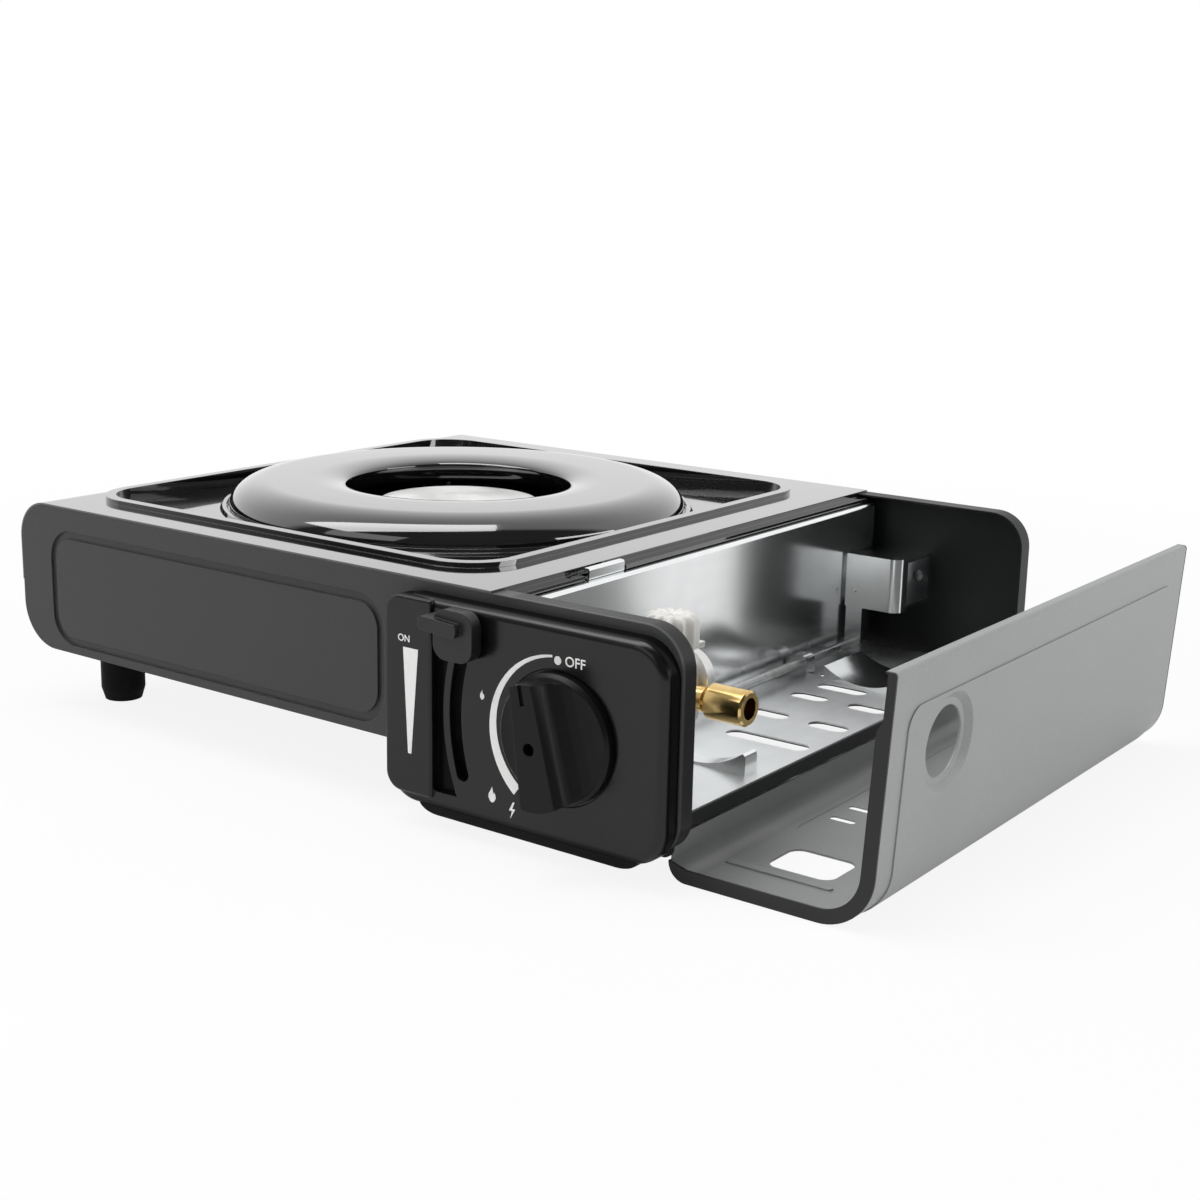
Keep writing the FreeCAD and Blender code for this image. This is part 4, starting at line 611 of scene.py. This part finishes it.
BOLT = [(0.1, 1.0), (-0.45, -0.05), (-0.02, -0.05), (-0.25, -1.0), (0.45, 0.22), (0.02, 0.22), (0.35, 1.0)]
FLAME = [(0.0, 1.0), (-0.22, 0.55), (-0.5, 0.1), (-0.55, -0.35), (-0.3, -0.8), (0.0, -0.95), (0.3, -0.8),
         (0.55, -0.35), (0.48, 0.05), (0.3, 0.35), (0.22, 0.1), (0.1, 0.45)]


def text_mark(name, words, x, z, height, y):
    """Word that starts at x, with z at the middle of its letters."""
    curve = bpy.data.curves.new(name, "FONT")
    curve.body = words
    curve.size = height
    curve.extrude = PRINT_THICK / 2
    curve.offset = height * LETTER_WEIGHT
    curve.align_x = "LEFT"
    curve.align_y = "CENTER"
    piece = put(name, curve, WHITE_INK)
    piece.location = (x, y, z)
    piece.rotation_euler = (math.pi / 2, 0, 0)
    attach(piece, "chassis")


def dial_marks():
    """Marks round the knob: off dot and word, growing flame arc, two flames, spark symbol."""
    y = FASCIA_FACE_Y - PRINT_LIFT
    disc_mark("mark_off_dot", KNOB_X + OFF_DOT[0], KNOB_Z + OFF_DOT[1], OFF_DOT_R, y)
    text_mark("mark_off_word", "OFF", KNOB_X + OFF_WORD[0], KNOB_Z + OFF_WORD[1], OFF_WORD_H, y)
    arc_mark("mark_flame_arc", ARC_R, *ARC_TURN, *ARC_WIDTH, y)
    symbol_mark("mark_spark", BOLT, KNOB_X + SPARK[0], KNOB_Z + SPARK[1], SPARK_SIZE, y)
    symbol_mark("mark_flame_low", FLAME, KNOB_X + SMALL_FLAME[0], KNOB_Z + SMALL_FLAME[1], SMALL_FLAME_SIZE, y)
    symbol_mark("mark_flame_high", FLAME, KNOB_X + BIG_FLAME[0], KNOB_Z + BIG_FLAME[1], BIG_FLAME_SIZE, y)


def strip_marks():
    """Long wedge printed on the raised strip, narrowing downwards, with its word above."""
    y = STRIP_FACE_Y - PRINT_LIFT
    points = [(WEDGE_TOP[0], WEDGE_TOP_Z), (WEDGE_TOP[1], WEDGE_TOP_Z), (WEDGE_FOOT[1], WEDGE_FOOT_Z),
              (WEDGE_FOOT[0], WEDGE_FOOT_Z)]
    flat_piece("mark_lock_wedge", [(ORIGIN.x + x, z) for x, z in points], y, WHITE_INK)
    text_mark("mark_on_word", "ON", ORIGIN.x + ON_WORD[0], ON_WORD[1], ON_WORD_H, y)


# ---- lip under the fascia ----
LIP_DROP = 3.0 * MM
LIP_THICK = 6.0 * MM
LIP_END = 9.0 * MM       # run over which each end tapers off
LIP_LEFT = 15.0 * MM     # from the fascia's left side
LIP_RIGHT = 11.0 * MM    # and from its right side
LIP_LAP = 1.6 * MM       # behind the fascia's lower edge
LIP_BACK = 0.4 * MM      # short of the fascia's back
LIP_ROUND = 0.8 * MM
LIP_STEPS = 8


def fascia_lip():
    """Dark lip below the fascia, tapering off at both ends."""
    low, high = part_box("control_fascia")
    x0, x1 = low.x + LIP_LEFT, high.x - LIP_RIGHT
    top, foot = low.z + LIP_LAP, low.z - LIP_DROP
    turns = [math.pi / 2 * i / LIP_STEPS for i in range(LIP_STEPS + 1)]
    outline = [(x0 + LIP_END * (1 - math.cos(a)), top + (foot - top) * math.sin(a)) for a in turns]
    outline += [(x1 - LIP_END * (1 - math.sin(a)), top + (foot - top) * math.cos(a)) for a in turns]
    lip = flat_piece("fascia_lip", outline, high.y - LIP_BACK, LIP_PLASTIC, LIP_THICK)
    edge = lip.modifiers.new("soft_edge", "BEVEL")
    edge.width = LIP_ROUND
    edge.segments = 3


# ---- floor, light and camera ----
FLOOR_WHITE = 0.88       # share of plain white near the object, seen directly
FLOOR_MIRRORED = 0.35    # and in gloss
FLOOR_NEAR = 0.3         # metres from the middle; plain white from FLOOR_FAR on
FLOOR_FAR = 0.75
FLOOR_SIZE = 60.0
WORLD_LIGHT = 0.38       # on matt surfaces
SKY_DARK = 0.75          # what gloss sees overhead, apart from the lamps
FRONT_DARK = 0.08        # and in front of the object, where the studio is dark
DARK_TURN = math.radians(36.096)     # middle of the dark side, from straight ahead to the right


def floor_material():
    """Pale floor that keeps the shadow and reads white to the camera and in reflections."""
    made, tree = blank("floor_pale")
    where = coordinates(tree)
    tone = remap(tree, noise(tree, where, 6.0, 3.0), 0.80, 0.83, 0.3, 0.7)
    surface = add(tree, "ShaderNodeCombineColor", {"Red": tone, "Green": tone, "Blue": tone})
    matt = add(tree, "ShaderNodeBsdfDiffuse", {"Color": surface.outputs[0]})
    glow = add(tree, "ShaderNodeEmission", {"Color": (1, 1, 1, 1), "Strength": 1.0})
    path = add(tree, "ShaderNodeLightPath")
    clear = maths(tree, "MAXIMUM", path.outputs["Is Camera Ray"], path.outputs["Is Transmission Ray"])
    centre = add(tree, "ShaderNodeTexCoord")
    away = add(tree, "ShaderNodeVectorMath", {0: centre.outputs["Object"]}, operation="LENGTH")
    white = remap(tree, away.outputs["Value"], FLOOR_WHITE, 1.0, FLOOR_NEAR, FLOOR_FAR)
    mirrored = remap(tree, away.outputs["Value"], FLOOR_MIRRORED, 1.0, FLOOR_NEAR, FLOOR_FAR)
    share = maths(tree, "MAXIMUM", maths(tree, "MULTIPLY", clear, white),
                  maths(tree, "MULTIPLY", path.outputs["Is Glossy Ray"], mirrored))
    mixed = add(tree, "ShaderNodeMixShader", {0: share, 1: matt.outputs[0], 2: glow.outputs[0]})
    finish_with(tree, mixed)
    return made


def build_floor():
    mesh = bpy.data.meshes.new("floor")
    half = FLOOR_SIZE / 2
    mesh.from_pydata([(-half, -half, 0), (half, -half, 0), (half, half, 0), (-half, half, 0)], [], [(0, 1, 2, 3)])
    put("floor", mesh, floor_material())


def build_world():
    """White to the camera; in reflections white round the back and darker above and in front."""
    world = bpy.data.worlds.new("studio")
    bpy.context.scene.world = world
    world.use_nodes = True
    tree = world.node_tree
    tree.nodes.clear()
    path = add(tree, "ShaderNodeLightPath")
    clear = maths(tree, "MAXIMUM", path.outputs["Is Camera Ray"], path.outputs["Is Transmission Ray"])
    where = add(tree, "ShaderNodeTexCoord")
    split = add(tree, "ShaderNodeSeparateXYZ", {"Vector": where.outputs["Generated"]})
    sky = remap(tree, split.outputs["Z"], 1.0, SKY_DARK, 0.65, 0.95)
    dark_side = (math.sin(DARK_TURN), -math.cos(DARK_TURN), 0)
    ahead = add(tree, "ShaderNodeVectorMath", {0: where.outputs["Generated"], 1: dark_side},
                operation="DOT_PRODUCT")
    front = remap(tree, ahead.outputs["Value"], 1.0, FRONT_DARK, 0.0, 0.16)
    gloss = maths(tree, "MULTIPLY", sky, front)
    dull = maths(tree, "SUBTRACT", 1.0, path.outputs["Is Glossy Ray"])
    light = maths(tree, "ADD", maths(tree, "MULTIPLY", gloss, path.outputs["Is Glossy Ray"]),
                  maths(tree, "MULTIPLY", dull, WORLD_LIGHT))
    strength = maths(tree, "MAXIMUM", light, clear)
    back = add(tree, "ShaderNodeBackground", {"Color": (1, 1, 1, 1), "Strength": strength})
    add(tree, "ShaderNodeOutputWorld", {"Surface": back.outputs[0]})


def softbox(name, at, aim, width, height, power):
    """Rectangular lamp of so many watts, turned towards aim."""
    light = bpy.data.lights.new(name, "AREA")
    light.shape = "RECTANGLE"
    light.size = width
    light.size_y = height
    light.energy = power
    lamp = bpy.data.objects.new(name, light)
    bpy.context.scene.collection.objects.link(lamp)
    lamp.location = at
    lamp.rotation_euler = (Vector(aim) - Vector(at)).to_track_quat("-Z", "Y").to_euler()


def build_lights():
    middle = (0, 0, 0.05)
    softbox("key_above", at=(-0.32, -0.36, 1.3), aim=middle, width=0.7, height=1.5, power=15.5)
    softbox("fill_right", at=(1.5, 0.45, 0.38), aim=middle, width=1.0, height=0.6, power=10.0)
    softbox("fill_front", at=(-0.3, -1.6, 0.9), aim=middle, width=1.2, height=0.8, power=3.0)


def build_camera():
    """Camera where the photograph was taken from."""
    lens = bpy.data.cameras.new("camera")
    lens.sensor_width = SENSOR
    lens.lens = FOCAL_PX / PHOTO_SIDE * SENSOR
    lens.clip_start = 0.01
    forward = Vector((-math.sin(YAW) * math.cos(PITCH), math.cos(YAW) * math.cos(PITCH), -math.sin(PITCH)))
    level = Vector((math.cos(YAW), math.sin(YAW), 0))
    upright = level.cross(forward)
    right = math.cos(ROLL) * level + math.sin(ROLL) * upright
    up = math.cos(ROLL) * upright - math.sin(ROLL) * level
    camera = bpy.data.objects.new("camera", lens)
    bpy.context.scene.collection.objects.link(camera)
    turn = Matrix((right, up, -forward)).transposed()
    camera.matrix_world = Matrix.Translation(ORIGIN + CAMERA_AT) @ turn.to_4x4()
    bpy.context.scene.camera = camera


dress_frame()
pan_ring()
regulator_cap()
dial_marks()
strip_marks()
fascia_lip()
build_floor()
build_world()
build_lights()
build_camera()
bpy.context.scene.view_settings.view_transform = "Standard"
